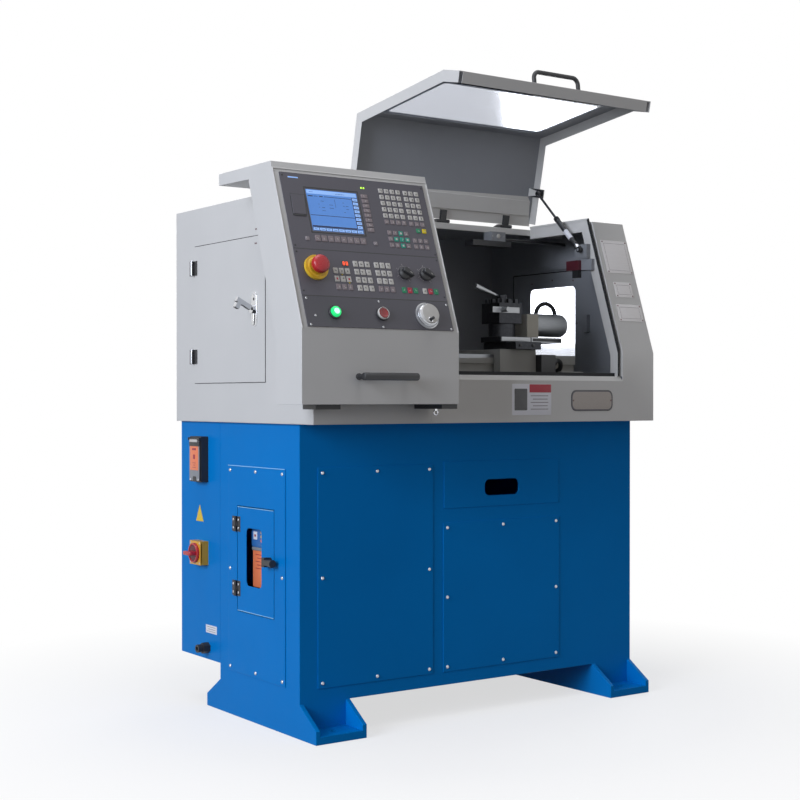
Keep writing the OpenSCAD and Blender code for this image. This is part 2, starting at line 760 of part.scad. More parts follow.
module enclosure() color("#dcdedb") {
    difference() {
        across(guard_x1, enc_x1, shell_outline);
        across(guard_x1 - 1, enc_x1 - skin_t, inset(shell_outline, skin_t));
        // Opening under the lid
        block(guard_x1 - 1, column_x0, enc_y0 - 1, roof_y, sill_z - sill_bevel, roof_z + 1);
        // Opening of the end door
        block(enc_x1 - skin_t - 1, enc_x1 + 1, end_open_y, end_open_y + end_open_w, end_open_z,
            end_open_z + end_open_h);
    }
    // Pan under the headstock guard, the sill and the rear roof's front beam
    block(enc_x0, guard_x1 + 1, enc_y0, enc_y1, stand_h, floor_z);
    across(guard_x1, column_x0 + skin_t, sheet([[sill_y1, sill_z - 48], [sill_y1, sill_z], [enc_y0 + sill_bevel, sill_z],
        [enc_y0, sill_z - sill_bevel], [enc_y0, sill_z - sill_bevel - 12]], skin_t));
    block(guard_x1, enc_x1, roof_y, roof_y + beam_d, roof_z - beam_h, roof_z);
    // Rain channels that the lid's flanges drop into, and the flanges that carry the seals
    intersection() {
        edge_strip(column_x0, column_x0 + skin_t, 0, channel_deep + skin_t);
        across(column_x0 - 1, column_x0 + skin_t + 1, shell_outline);
    }
    edge_strip(flange_r, column_x0 + skin_t, channel_deep, channel_deep + skin_t);
    edge_strip(flange_r, flange_r + flange_t, flange_top, channel_deep + skin_t);
    edge_strip(guard_x1, flange_l, channel_deep, channel_deep + skin_t);
    edge_strip(flange_l - flange_t, flange_l, flange_top, channel_deep + skin_t);
}

module headstock_guard() color("#dcdedb") {
    difference() {
        across(enc_x0, guard_x1, guard_outline);
        across(enc_x0 + skin_t, guard_x1 - skin_t, inset(guard_outline, skin_t));
        block(enc_x0 + skin_t, guard_x1 - skin_t, enc_y0 + skin_t, enc_y1 - skin_t, floor_z - 1, floor_z + skin_t + 1);
        // Openings of the guard door, the spindle nose and the bed
        block(enc_x0 - 1, enc_x0 + skin_t + 1, guard_door_y + guard_door_lap,
            guard_door_y + guard_door_w - guard_door_lap, guard_door_z + guard_door_lap,
            guard_door_z + guard_door_h - guard_door_lap);
        bar_x(guard_x1 - skin_t - 1, guard_x1 + 1, spindle_y, axis_z, chuck_d + 15);
        block(guard_x1 - skin_t - 1, guard_x1 + 1, screw_y - 24, bed_y + bed_w + 6, floor_z - 1, bed_z + 3);
    }
}

module guard_door() color("#dcdedb") {
    face = enc_x0 - door_t;
    difference() {
        union() {
            block(face, enc_x0, guard_door_y, guard_door_y + guard_door_w, guard_door_z, guard_door_z + guard_door_h);
            translate([face - 3, lock_y, lock_z]) rotate([90, 0, 90]) linear_extrude(3) round_rect(27, 89, 13);
        }
        bar_x(face - 4, enc_x0 + 1, lock_y, lock_z, button_d + 2 * fit);
    }
    translate([face - hinge_reach, guard_hinge_y, 0])
        for (z = hinge_pair(guard_door_z, guard_door_h)) hinge_moving(z);
}

module lock_handle() color("#c9ccd0") {
    face = enc_x0 - door_t - 3;
    bar_x(face - 9, face, lock_y, lock_z, 22);
    bar_x(face - 9, enc_x0 + 12, lock_y, lock_z, button_d);
    // Cam that turns behind the guard's edge, and the grip swung out of its plate
    block(enc_x0 + skin_t + gap, enc_x0 + skin_t + gap + 4, lock_y - 9, lock_y + 9, lock_z - 9, lock_z + 48);
    translate([face - 8, lock_y - 6, lock_z + 8]) rotate([0, 28, 0]) translate([-46, 0, -12]) cube([46, 12, 12]);
    translate([face - 47, lock_y - 7, lock_z + 12]) rotate([0, 28, 0]) translate([-6, 0, -12]) cube([12, 14, 18]);
}

module end_door() color("#dcdedb") {
    difference() {
        block(enc_x1, enc_x1 + door_t, end_open_y - end_lap, end_open_y + end_open_w + end_lap, end_open_z - end_lap,
            end_open_z + end_open_h + end_lap);
        translate([enc_x1 - 1, end_window_y + end_window_w / 2, end_window_z + end_window_h / 2])
            rotate([90, 0, 90]) linear_extrude(door_t + 2) round_rect(end_window_w, end_window_h, 16);
    }
    // Pull knob
    bar_x(enc_x1, enc_x1 + door_t + 22, end_knob_y, end_catch_z, 14);
    bar_x(enc_x1 + door_t + 16, enc_x1 + door_t + 28, end_knob_y, end_catch_z, 26);
    translate([enc_x1 + door_t + hinge_reach, end_hinge_y, 0]) mirror([1, 0, 0])
        for (z = hinge_pair(end_open_z, end_open_h)) hinge_moving(z);
}

module end_door_window() color("#e4eef4") {
    lap = 9;
    translate([enc_x1 + door_t, end_window_y + end_window_w / 2, end_window_z + end_window_h / 2]) rotate([90, 0, 90])
        linear_extrude(3) round_rect(end_window_w + 2 * lap, end_window_h + 2 * lap, 10);
}

// Catch on the inside of the end wall, with the strap that reaches to the door
module end_door_catch() color("#9a9da0") {
    x = enc_x1 - skin_t;
    block(x - 14, x, end_open_y - 46, end_open_y - 23, end_catch_z - 26, end_catch_z + 27);
    block(x - 6, x, end_open_y - 24, end_open_y - 1, end_catch_z - 9, end_catch_z + 9);
}

module door_seal() color("#1a1a1c") {
    difference() {
        for (x = [flange_l - flange_t, flange_r]) edge_strip(x - 1, x + flange_t + 1, skin_t + seal_gap, flange_top);
        // The lid's lip stands behind the column's face
        block(flange_l - 20, flange_r + 20, enc_y0 - 1, lid_foot_y + skin_t + seal_gap, sill_z - 1, lid_foot_z);
    }
    block(flange_l + 2, flange_r - 2, enc_y0 + 20, enc_y0 + 26, sill_z, lip_z - seal_gap);
}

// Lid, drawn shut and swung up about its hinge
module swung_open() {
    translate([0, pivot_y, pivot_z]) rotate([-lid_open, 0, 0]) translate([0, -pivot_y, -pivot_z]) children();
}

// Frame on the lid's slanted panel: origin at its top, x across, y down the slope, z outwards
module on_slope() {
    translate([0, lid_path[1][0], lid_path[1][1]]) rotate([90 - face_tilt, 0, 0]) mirror([0, 1, 0]) children();
}

module lid() color("#dcdedb") swung_open() {
    difference() {
        union() {
            across(lid_x0, lid_x1, sheet(concat(lid_path, [[lid_foot_y + lid_flange, lip_z]]), skin_t));
            flange_path = concat([[roof_y - 3, lid_z]], [for (i = [1:3]) lid_path[i]]);
            for (x = [lid_x0, lid_x1 - skin_t]) across(x, x + skin_t, sheet(flange_path, lid_flange));
            // Stiffener and hinge arms under the top panel
            block(flange_l + 5, flange_r - 5, pivot_y - 82, pivot_y - 37, lid_z - 6, lid_z - skin_t);
            for (x = hinge_block_x) {
                block(x - 10, x + 10, pivot_y - 34, pivot_y, pivot_z - 4.8, lid_z - skin_t);
                bar_x(x - 10, x + 10, pivot_y, pivot_z, 2 * block_barrel);
            }
        }
        for (x = hinge_block_x) {
            bar_x(x - 11, x + 11, pivot_y, pivot_z, 2 * (block_pin + fit), $fn = small_fn);
            block(x - 11, x + 11, pivot_y - 5, pivot_y + 6, pivot_z + block_barrel, lid_z + 1);
        }
        translate([lid_mid, 0, 0]) on_slope() translate([0, lid_window_up + lid_window_l / 2, -skin_t - 1])
            linear_extrude(skin_t + 2) round_rect(lid_window_w, lid_window_l, 12);
        // Notches of the lip round the flanges that carry the seals
        for (x = [lid_x0 + skin_t, flange_r - 5])
            block(x, x + lid_x1 - skin_t - flange_r + 5, lid_foot_y + skin_t, lid_foot_y + lid_flange + 1,
                lip_z - 1, lip_z + skin_t + 1);
    }
    // Bracket and stud of the gas strut
    plate_x = strut_x + strut_eye_w / 2 + 8;
    stud_y = pivot_y - stud_back;
    stud_z = pivot_z - stud_down;
    block(plate_x, plate_x + 3, stud_y - 13, stud_y + 13, stud_z - 11, lid_z - skin_t);
    bar_x(strut_x + strut_eye_w / 2 + 1.5, plate_x, stud_y, stud_z, strut_ball_d);
}

module lid_window() color("#dfe9ee") swung_open() {
    translate([lid_mid, 0, 0]) on_slope()
        translate([0, lid_window_up + lid_window_l / 2, -skin_t - 3]) linear_extrude(3)
            round_rect(lid_window_w + 24, lid_window_l + 24, 12);
}

module lid_handle() color("#1c1c1e") swung_open() {
    foot_down = lid_slope - 24;
    bend = 18;
    translate([lid_handle_x, 0, 0]) on_slope() translate([0, foot_down, 0]) {
        for (side = [-1, 1]) {
            translate([side * lid_handle_w / 2, 0, 0]) cylinder(d = lid_handle_d, h = lid_handle_h - bend);
            translate([side * (lid_handle_w / 2 - bend), 0, lid_handle_h - bend]) rotate([90, 0, 0])
                rotate([0, 0, side > 0 ? 0 : 90]) rotate_extrude(angle = 90) translate([bend, 0])
                    circle(d = lid_handle_d);
            translate([side * lid_handle_w / 2, 0, 0]) cylinder(d = lid_handle_d + 8, h = 3);
        }
        translate([-lid_handle_w / 2 + bend, 0, lid_handle_h]) rotate([0, 90, 0])
            cylinder(d = lid_handle_d, h = lid_handle_w - 2 * bend);
    }
}

// Frame of the gas strut at rest: origin at its lower ball, y along the rod
module along_strut() {
    translate([strut_x, strut_y, strut_z]) rotate([strut_angle, 0, 0]) children();
}

module strut_cylinder() color("#2a2a2e") along_strut() difference() {
    union() {
        bar_x(-strut_eye_w / 2, strut_eye_w / 2, 0, 0, strut_eye_d);
        bar_y(0, 6, strut_body_l, 0, strut_d);
    }
    bar_x(-strut_eye_w, strut_eye_w, 0, 0, strut_ball_d + 2 * fit);
    bar_y(0, 14, strut_body_l + 1, 0, strut_rod_d + 2 * fit);
}

module strut_rod() color("#c9ccd0") along_strut() difference() {
    union() {
        bar_y(0, strut_body_l - 25, strut_reach - 6, 0, strut_rod_d);
        bar_x(-strut_eye_w / 2 + 1, strut_eye_w / 2 - 1, strut_reach, 0, strut_eye_d - 2);
    }
    bar_x(-strut_eye_w, strut_eye_w, strut_reach, 0, strut_ball_d + 2 * gap);
}

module interlock_switch() color("#8c1f28") {
    y = strut_y + 2;
    z = strut_z - 58;
    block(flange_r - 12, flange_r, enc_y0 + 106, y + 12, z - 2, z + 30);
    block(flange_r - 24, flange_r - 4, y + 4, y + 56, z, z + 28);
    block(flange_r - 20, flange_r - 8, y + 8, y + 34, z - 22, z);
}

module work_light() color("#3a3c40") {
    y = roof_y - 14;
    mid = lid_mid + 150;
    block(mid, mid + 53, y - 16, roof_y + beam_d, roof_z - beam_h - 28, roof_z - beam_h);
    block(mid - 71, mid + 72, y - 20, y + 20, roof_z - beam_h - 44, roof_z - beam_h - 28);
    bar_x(mid + 53, enc_x1 - skin_t, y + 3, roof_z - beam_h - 20, 9);
}

// Console

// Frame on the console's slanted face: x across from the panels' left edge, y up the slope, z outwards
module on_console() {
    translate([panel_x, con_y, con_bend]) rotate([90 - con_tilt, 0, 0]) children();
}

// Flat plate on the slanted face, between two distances up the slope
module panel_plate(s0, h) {
    on_console() translate([0, s0 + 0.2, 0]) cube([panel_w, h - 0.4, panel_t]);
}

// Upright bar on the slanted face at x across the machine and s up the slope
module post(x, s, z0, z1, d) {
    on_console() translate([x - panel_x, s, z0]) cylinder(d = d, h = z1 - z0);
}

module console_shell() color("#dcdedb") {
    difference() {
        across(con_x, con_x + con_w, con_outline);
        across(con_x + con_t, con_x + con_w - con_t, inset(con_outline, con_t));
        // Opening behind the panels
        on_console() translate([12, switch_s + 10, -con_t - 1])
            cube([panel_w - 24, switch_h + operator_h + panel_h - 20, con_t + 2]);
    }
    // Runner under the hood, inside the rail
    runner_w = rail_w - 2 * rail_t - 8;
    block(con_x + 140, con_x + con_w - 30, rail_y + 6, rail_y + 6 + runner_w, lid_z + rail_t + 1,
        lid_z + rail_h - rail_t - 1);
    block(con_x + 140, con_x + con_w - 30, rail_y + 18, rail_y + rail_w - 18, lid_z + rail_h - rail_t - 2, hood_z + 3.5);
}

module console_rail() color("#8a8d90") {
    // C-shaped rail on top of the guard
    block(rail_x0, rail_x0 + rail_l, rail_y, rail_y + rail_w, lid_z, lid_z + rail_t);
    for (side = [0, 1]) {
        y = side == 0 ? rail_y : rail_y + rail_w - rail_t;
        lip = side == 0 ? rail_y : rail_y + rail_w - 14;
        block(rail_x0, rail_x0 + rail_l, y, y + rail_t, lid_z, lid_z + rail_h);
        block(rail_x0, rail_x0 + rail_l, lip, lip + 14, lid_z + rail_h - rail_t, lid_z + rail_h);
    }
    // Rest bar and stud on the enclosure's front, under the console
    difference() {
        block(latch_bar_x, latch_bar_x + 48, con_y + 10, enc_y0, con_z - 12, con_z - gap);
        bar_z(latch_bar_x + 24, enc_y0 - 60, con_z - 13, con_z, pin_d + 2 * fit);
    }
    block(enc_x0 - 30, enc_x0 + 40, enc_y0 - 60, enc_y0, con_z - 12, con_z - gap);
}

module console_latch_pin() color("#c9ccd0") {
    bar_z(latch_bar_x + 24, enc_y0 - 60, con_z - 17, con_z - gap, pin_d);
    translate([latch_bar_x + 24, enc_y0 - 60, con_z - 21]) rotate([90, 0, 0])
        rotate_extrude() translate([6, 0]) circle(d = 2.6, $fn = small_fn);
}

module console_handle() color("#1c1c1e") {
    x = con_x + con_w / 2;
    z = con_z + 66;
    for (side = [-1, 1]) {
        bar_y(x + side * (con_handle_w / 2 - con_handle_d / 2), con_y - con_handle_out, con_y, z, con_handle_d - 2);
    }
    bar_x(x - con_handle_w / 2, x + con_handle_w / 2, con_y - con_handle_out, z, con_handle_d);
}

module control_panel() color("#54525a") difference() {
    union() {
        panel_plate(control_s, panel_h);
        // Housing behind the panel
        on_console() translate([16, control_s + 8, -42]) cube([panel_w - 32, panel_h - 20, 42]);
    }
    on_console() translate([screen_x - panel_x, screen_s, panel_t - 2]) cube([screen_w, screen_h, 3]);
}

module screen() color("#3f76c8") {
    on_console() translate([screen_x - panel_x, screen_s, panel_t - 2]) cube([screen_w, screen_h, 1.6]);
}

module operator_panel() color("#54525a") difference() {
    union() {
        panel_plate(operator_s, operator_h);
        on_console() translate([16, operator_s + 12, -30]) cube([panel_w - 32, operator_h - 24, 30]);
        post(stop_x, stop_s, 0, panel_t + 8, stop_d * 1.4);
    }
    post(stop_x, stop_s, -32, panel_t + 9, button_d + 2 * fit);
    for (x = knob_x) post(x, knob_s, -12, panel_t + 1, shaft_d + 2 * fit);
}

module switch_panel() color("#54525a") difference() {
    union() {
        panel_plate(switch_s, switch_h);
        on_console() translate([16, switch_s + 12, -26]) cube([panel_w - 32, switch_h - 24, 26]);
        for (x = push_x) post(x, push_s, 0, panel_t + 4, push_d + 6);
        post(wheel_x, push_s, 0, panel_t + 3, wheel_d + 6);
    }
    for (x = push_x) {
        post(x, push_s, -27, panel_t + 5, button_d + 2 * fit);
        post(x, push_s, panel_t - 1, panel_t + 5, push_d + 2 * gap);
    }
    post(wheel_x, push_s, -20, panel_t + 4, shaft_d + 2 * fit);
}

// Block of keys on the panels: columns to the right and rows up the slope from its lower left key
module key_block(x, s, columns, rows, dx, ds, w, h) {
    on_console() for (i = [0:columns - 1], j = [0:rows - 1])
        translate([x - panel_x + i * dx - w / 2, s + j * ds - h / 2, panel_t]) cube([w, h, 1.5]);
}

module panel_keys() color("#e6e6e2") {
    // Soft keys below and beside the screen
    key_block(-29.5, screen_s - 18, 8, 1, 18.5, 1, 15, 12);
    key_block(screen_x + screen_w + 21, screen_s + 12.5, 1, 8, 1, 13, 15, 10.5);
    key_block(screen_x - 20.5, screen_s - 22.5, 1, 1, 1, 1, 11, 10);
    key_block(screen_x + screen_w + 27.5, screen_s - 23.5, 1, 1, 1, 1, 11, 10);
    // Letter and figure keys, and the two under them
    key_block(182.5, control_s + 88.7, 4, 6, 17.4, 17, 12.5, 12);
    key_block(257, control_s + 88.7, 3, 6, 17.1, 17, 12.5, 12);
    key_block(274, control_s + 70.5, 2, 1, 18, 1, 12, 12);
    // Cursor keys
    key_block(184, control_s + 25.8, 4, 3, 16.8, 16.7, 12, 12);
    key_block(257, control_s + 25.8, 3, 2, 17, 16.7, 12, 12);
    // Operator keys and their small counter
    key_block(2.5, operator_s + 25.5, 3, 3, 16.8, 21, 13, 15);
    key_block(34, operator_s + 87.5, 1, 1, 1, 1, 17, 12);
    key_block(63, operator_s + 25.2, 3, 4, 17.2, 21, 13, 15);
    key_block(124, operator_s + 25.2, 3, 4, 17.2, 21, 13, 15);
    key_block(192, operator_s + 25.5, 3, 1, 17.4, 1, 12, 15);
    key_block(254.5, operator_s + 25.5, 3, 1, 17.2, 1, 12, 15);
}

module emergency_stop_button() color("#d21f1f") {
    post(stop_x, stop_s, -20, panel_t + 14, button_d);
    on_console() translate([stop_x - panel_x, stop_s, panel_t + 14]) {
        cylinder(d1 = stop_d * 0.72, d2 = stop_d, h = 8);
        translate([0, 0, 8]) cylinder(d = stop_d, h = 8);
        translate([0, 0, 16]) cylinder(d1 = stop_d, d2 = stop_d * 0.78, h = 6);
    }
}

module override_knob(x) {
    post(x, knob_s, -10, panel_t + 2, shaft_d);
    post(x, knob_s, panel_t, panel_t + 15, knob_d);
    on_console() translate([x - panel_x - 2, knob_s - knob_d / 2, panel_t + 14]) cube([4, knob_d, 5]);
}

module override_knob_left() color("#1a1a1c") override_knob(knob_x[0]);

module override_knob_right() color("#1a1a1c") override_knob(knob_x[1]);

module push_button(x) {
    post(x, push_s, -22, panel_t + 4, button_d);
    post(x, push_s, panel_t + 3, panel_t + 11, push_d);
}

module start_button() color("#38d060") push_button(push_x[0]);

module stop_button() color("#c03a38") push_button(push_x[1]);

module pulse_handwheel() color("#c9ccd0") {
    post(wheel_x, push_s, -18, panel_t + 5, shaft_d);
    post(wheel_x, push_s, panel_t + 3 + gap, panel_t + 20, wheel_d);
    on_console() translate([wheel_x - panel_x, push_s, panel_t + 20]) rotate([0, 0, -105])
        translate([wheel_d * 0.3, 0, 0]) cylinder(d = 9, h = 14);
}

// Lathe

module bed() color("#c9cbc6") {
    difference() {
        union() {
            for (y = [bed_y, bed_y + bed_w - rail_side]) {
                block(bed_x, bed_x + bed_l, y, y + rail_side, bed_z - way_h, bed_z);
                block(bed_x, bed_x + bed_l, y + 6, y + rail_side - 6, bed_bottom, bed_z);
            }
            for (x = [bed_x:bed_l / 6 - bed_web / 6:bed_x + bed_l - bed_web])
                block(x, x + bed_web, bed_y + 6, bed_y + bed_w - 6, bed_bottom, bed_z - way_h);
            for (x = [bed_x + 30, bed_x + bed_l - 190])
                block(x, x + 160, bed_y - 4, bed_y + bed_w + 4, floor_z, bed_bottom + 12);
            // Ball screw bearings and the feed motor at the left end
            block(bed_x + 120, bed_x + 150, screw_y - 22, bed_y + 6, screw_z - 22, screw_z + 22);
            block(bed_x + bed_l - 80, bed_x + bed_l, screw_y - 20, bed_y + 6, screw_z - 22, screw_z + 22);
            block(bed_x + 12, bed_x + 120, screw_y - 22, bed_y + 6, screw_z - 22, screw_z + 22);
        }
        bar_x(bed_x + 90, bed_x + bed_l - 20, screw_y, screw_z, ballscrew_d + 2 * fit);
    }
}

module ball_screw() color("#b8bbbe") bar_x(bed_x + 92, bed_x + bed_l - 22, screw_y, screw_z, ballscrew_d);

module headstock() color("#d6d8d3") difference() {
    union() {
        block(head_x0, head_x1, head_y0, head_y1, bed_z, head_top);
        // Motor plate behind the casting
        block(head_x0, head_x0 + 10, head_y1, motor_y + motor_d / 2, motor_z - motor_d / 2, motor_z + motor_d / 2);
    }
    bar_x(head_x0 - 1, head_x1 + 1, spindle_y, axis_z, spindle_d + 2 * fit);
    bar_x(head_x0 - 1, head_x0 + 11, motor_y, motor_z, 24 + 2 * gap);
}

module spindle() color("#b8bbbe") difference() {
    union() {
        bar_x(belt_x - 8, nose_x, spindle_y, axis_z, spindle_d);
        bar_x(nose_x, chuck_x, spindle_y, axis_z, chuck_d * 0.8);
        bar_x(belt_x, belt_x + belt_w + 4, spindle_y, axis_z, pulley_big);
    }
    bar_x(belt_x - 9, chuck_x + 1, spindle_y, axis_z, spindle_bore);
}

// Frame on the spindle axis that turns with jaw number n, z outwards along the jaw
module at_jaw(n) {
    translate([0, spindle_y, axis_z]) rotate([n * 120, 0, 0]) children();
}

module chuck() color("#8e9194") difference() {
    bar_x(chuck_x, chuck_face, spindle_y, axis_z, chuck_d);
    bar_x(chuck_x - 1, chuck_face + 1, spindle_y, axis_z, spindle_bore + 6);
    for (n = [0:2]) at_jaw(n)
        block(chuck_face - jaw_slot - gap, chuck_face + 1, -jaw_w / 2 - gap, jaw_w / 2 + gap, 0, chuck_d);
}

module chuck_jaw(n) at_jaw(n) {
    inner = 20;
    block(chuck_face - jaw_slot, chuck_face, -jaw_w / 2, jaw_w / 2, inner, chuck_d / 2 - 2);
    block(chuck_face, chuck_face + jaw_out * 0.5, -jaw_w / 2, jaw_w / 2, inner, chuck_d / 2 - 4);
    block(chuck_face, chuck_face + jaw_out, -jaw_w / 2, jaw_w / 2, inner, chuck_d / 2 - 22);
}

module chuck_jaw_1() color("#9fa2a5") chuck_jaw(0);

module chuck_jaw_2() color("#9fa2a5") chuck_jaw(1);

module chuck_jaw_3() color("#9fa2a5") chuck_jaw(2);

module spindle_motor() color("#3c4650") {
    bar_x(motor_x, motor_x + motor_l, motor_y, motor_z, motor_d);
    block(motor_x + 60, motor_x + 130, motor_y - 30, motor_y + 30, motor_z + motor_d / 2 - 8, motor_z + motor_d / 2 + 22);
}

module motor_pulley() color("#8e9194") {
    bar_x(belt_x, belt_x + belt_w + 4, motor_y, motor_z, pulley_small);
    bar_x(belt_x, motor_x, motor_y, motor_z, 24);
}

// Loop around the two pulleys, grown by d beyond their faces
function belt_loop(d) =
    let (run = [motor_y - spindle_y, motor_z - axis_z], far = norm(run), turn = atan2(run[1], run[0]),
         wrap = asin((pulley_big - pulley_small) / 2 / far), steps = 20,
         big_arc = 180 + 2 * wrap, small_arc = 180 - 2 * wrap,
         big_r = (pulley_big / 2 + d) / cos(big_arc / steps / 2),
         small_r = (pulley_small / 2 + d) / cos(small_arc / steps / 2))
    concat(
        [for (i = [0:steps]) let (a = turn + 90 - wrap + big_arc * i / steps)
            [spindle_y + big_r * cos(a), axis_z + big_r * sin(a)]],
        [for (i = [0:steps]) let (a = turn - 90 + wrap + small_arc * i / steps)
            [motor_y + small_r * cos(a), motor_z + small_r * sin(a)]]);

module drive_belt() color("#222226") difference() {
    across(belt_x + 2, belt_x + 2 + belt_w, belt_loop(gap + belt_t));
    across(belt_x + 1, belt_x + 3 + belt_w, belt_loop(gap));
}

module saddle() color("#c9cbc6") difference() {
    union() {
        block(saddle_x, saddle_x + saddle_w, screw_y - 15, bed_y + bed_w, bed_z, slide_z);
        block(saddle_x, saddle_x + saddle_w, screw_y - 15, bed_y - 1, screw_z + ballscrew_d / 2 + 10, slide_z);
        block(saddle_x + 30, saddle_x + 100, screw_y - 14, bed_y - 1, screw_z - 15, slide_z - 4);
    }
    bar_x(saddle_x - 1, saddle_x + saddle_w + 1, screw_y, screw_z, ballscrew_d + 2 * fit);
}

module cross_motor() color("#2c2d30") {
    block(saddle_x + saddle_w, saddle_x + saddle_w + gear_box, bed_y - 2 - gear_box, bed_y - 2,
        bed_z - gear_box, bed_z);
}

module cross_slide() color("#c9cbc6") {
    block(saddle_x + 36, saddle_x + saddle_w - 2, screw_y - 40, bed_y + bed_w - 80, slide_z, deck_z);
    block(turret_x - 40, can_x + can_l - 40, turret_y - 45, turret_y + 45, deck_z, base_z);
    // Round base of the turret and the post that the turret turns on
    difference() {
        bar_z(turret_x, turret_y, base_z, turret_z, turret_base_d);
    }
    bar_z(turret_x, turret_y, turret_z, turret_z + turret_h - 6, 24);
    // Gear housing beside the turret
    block(housing_x, can_x, turret_y - 38, turret_y + 42, base_z, housing_top);
}

module turret() color("#3a3d42") difference() {
    union() {
        block(turret_x - turret_w / 2, turret_x + turret_w / 2, turret_y - turret_w / 2, turret_y + turret_w / 2,
            turret_z, turret_z + turret_h);
        // Square-head clamp screws
        for (a = [0:90:270], k = [-1, 0, 1]) translate([turret_x, turret_y, 0]) rotate([0, 0, a])
            block(k * 24 - 4.5, k * 24 + 4.5, -turret_w / 2 + 4, -turret_w / 2 + 13, turret_z + turret_h - 1,
                turret_z + turret_h + 12);
        // Tool shank in the front slot and a boring bar in the left one
        block(turret_x - 66, turret_x + 30, turret_y - turret_w / 2 - 3, turret_y - turret_w / 2 + 12, turret_z + 29,
            turret_z + 45);
        bar_y(turret_x - turret_w / 2 + 8, turret_y - 70, turret_y + 20, turret_z + 37, 14);
    }
    for (a = [0:90:270]) translate([turret_x, turret_y, 0]) rotate([0, 0, a])
        block(-turret_w, turret_w, -turret_w, -turret_w / 2 - 3.1, turret_z + 50, turret_z + 70);
    bar_z(turret_x, turret_y, turret_z - 1, turret_z + turret_h - 6 + gap, 24 + 2 * fit);
}

module clamp_lever() color("#4a4d52") {
    hub_z = turret_z + turret_h;
    bar_z(turret_x, turret_y, hub_z, hub_z + 24, 28);
    translate([turret_x, turret_y, hub_z + 16]) rotate([0, -72, 0]) cylinder(d1 = 8, d2 = 14, h = 98);
}

module turret_motor() color("#b8bbbe") {
    bar_x(can_x, can_x + can_l - 8, turret_y + 5, can_z, turret_motor_d);
    bar_x(can_x + can_l - 8, can_x + can_l, turret_y + 5, can_z, turret_motor_d * 0.8);
    // Conduit that loops over the motor
    translate([can_x + 62, turret_y + 5, can_z + turret_motor_d / 2 - 6]) rotate([90, 0, 0])
        rotate_extrude(angle = 180) translate([36, 0]) circle(d = 12, $fn = small_fn);
}

// All pieces are drawn from the stand's front left corner and moved so that the origin lies on the floor
// at the middle of the anchor holes
module from_corner() {
    translate([-stand_w / 2, -stand_d / 2, 0]) children();
}

from_corner() stand_frame();
from_corner() front_covers();
from_corner() drawer();
from_corner() side_cover();
from_corner() side_door();
from_corner() side_door_latch();
from_corner() inverter();
from_corner() electrical_cabinet();
from_corner() cabinet_door();
from_corner() main_switch_handle();
from_corner() socket_flap();
from_corner() cover_screws();
from_corner() hinge_brackets();
from_corner() enclosure();
from_corner() headstock_guard();
from_corner() guard_door();
from_corner() lock_handle();
from_corner() end_door();
from_corner() end_door_window();
from_corner() end_door_catch();
from_corner() door_seal();
from_corner() lid();
from_corner() lid_window();
from_corner() lid_handle();
from_corner() strut_cylinder();
from_corner() strut_rod();
from_corner() interlock_switch();
from_corner() work_light();
from_corner() console_shell();
from_corner() console_handle();
from_corner() console_rail();
from_corner() console_latch_pin();
from_corner() control_panel();
from_corner() screen();
from_corner() operator_panel();
from_corner() switch_panel();
from_corner() panel_keys();
from_corner() emergency_stop_button();
from_corner() override_knob_left();
from_corner() override_knob_right();
from_corner() start_button();
from_corner() stop_button();
from_corner() pulse_handwheel();
from_corner() bed();
from_corner() headstock();
from_corner() spindle();
from_corner() chuck();
from_corner() chuck_jaw_1();
from_corner() chuck_jaw_2();
from_corner() chuck_jaw_3();
from_corner() spindle_motor();
from_corner() motor_pulley();
from_corner() drive_belt();
from_corner() ball_screw();
from_corner() saddle();
from_corner() cross_motor();
from_corner() cross_slide();
from_corner() turret();
from_corner() clamp_lever();
from_corner() turret_motor();
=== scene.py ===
import random
from math import cos, hypot, pi, radians, sin

import bmesh
import bpy
from mathutils import Matrix, Vector


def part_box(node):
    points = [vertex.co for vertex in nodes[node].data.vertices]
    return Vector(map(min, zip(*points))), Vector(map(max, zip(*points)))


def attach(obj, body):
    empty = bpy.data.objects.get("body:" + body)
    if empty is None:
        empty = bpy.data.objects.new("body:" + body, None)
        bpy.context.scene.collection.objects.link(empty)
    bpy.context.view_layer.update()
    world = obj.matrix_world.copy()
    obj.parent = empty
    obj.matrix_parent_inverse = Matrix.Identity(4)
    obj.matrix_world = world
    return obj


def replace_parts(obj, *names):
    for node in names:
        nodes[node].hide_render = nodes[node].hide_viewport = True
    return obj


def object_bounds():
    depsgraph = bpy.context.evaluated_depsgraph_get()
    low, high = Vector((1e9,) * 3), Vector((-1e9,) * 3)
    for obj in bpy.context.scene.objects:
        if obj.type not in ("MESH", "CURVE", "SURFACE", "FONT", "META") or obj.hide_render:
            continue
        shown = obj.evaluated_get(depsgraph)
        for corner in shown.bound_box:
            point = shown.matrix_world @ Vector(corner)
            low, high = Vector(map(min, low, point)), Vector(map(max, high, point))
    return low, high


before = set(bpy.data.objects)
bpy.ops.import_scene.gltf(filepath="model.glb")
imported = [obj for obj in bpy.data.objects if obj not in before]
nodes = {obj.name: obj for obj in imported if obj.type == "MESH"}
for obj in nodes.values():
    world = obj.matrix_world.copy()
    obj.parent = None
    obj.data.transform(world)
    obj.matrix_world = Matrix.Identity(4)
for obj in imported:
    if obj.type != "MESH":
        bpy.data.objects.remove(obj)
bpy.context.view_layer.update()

mm = 0.001


def toLinear(hexColour):
    parts = [int(hexColour[i:i + 2], 16) / 255 for i in (1, 3, 5)]
    return tuple(c / 12.92 if c <= 0.04045 else ((c + 0.055) / 1.055) ** 2.4 for c in parts) + (1.0,)


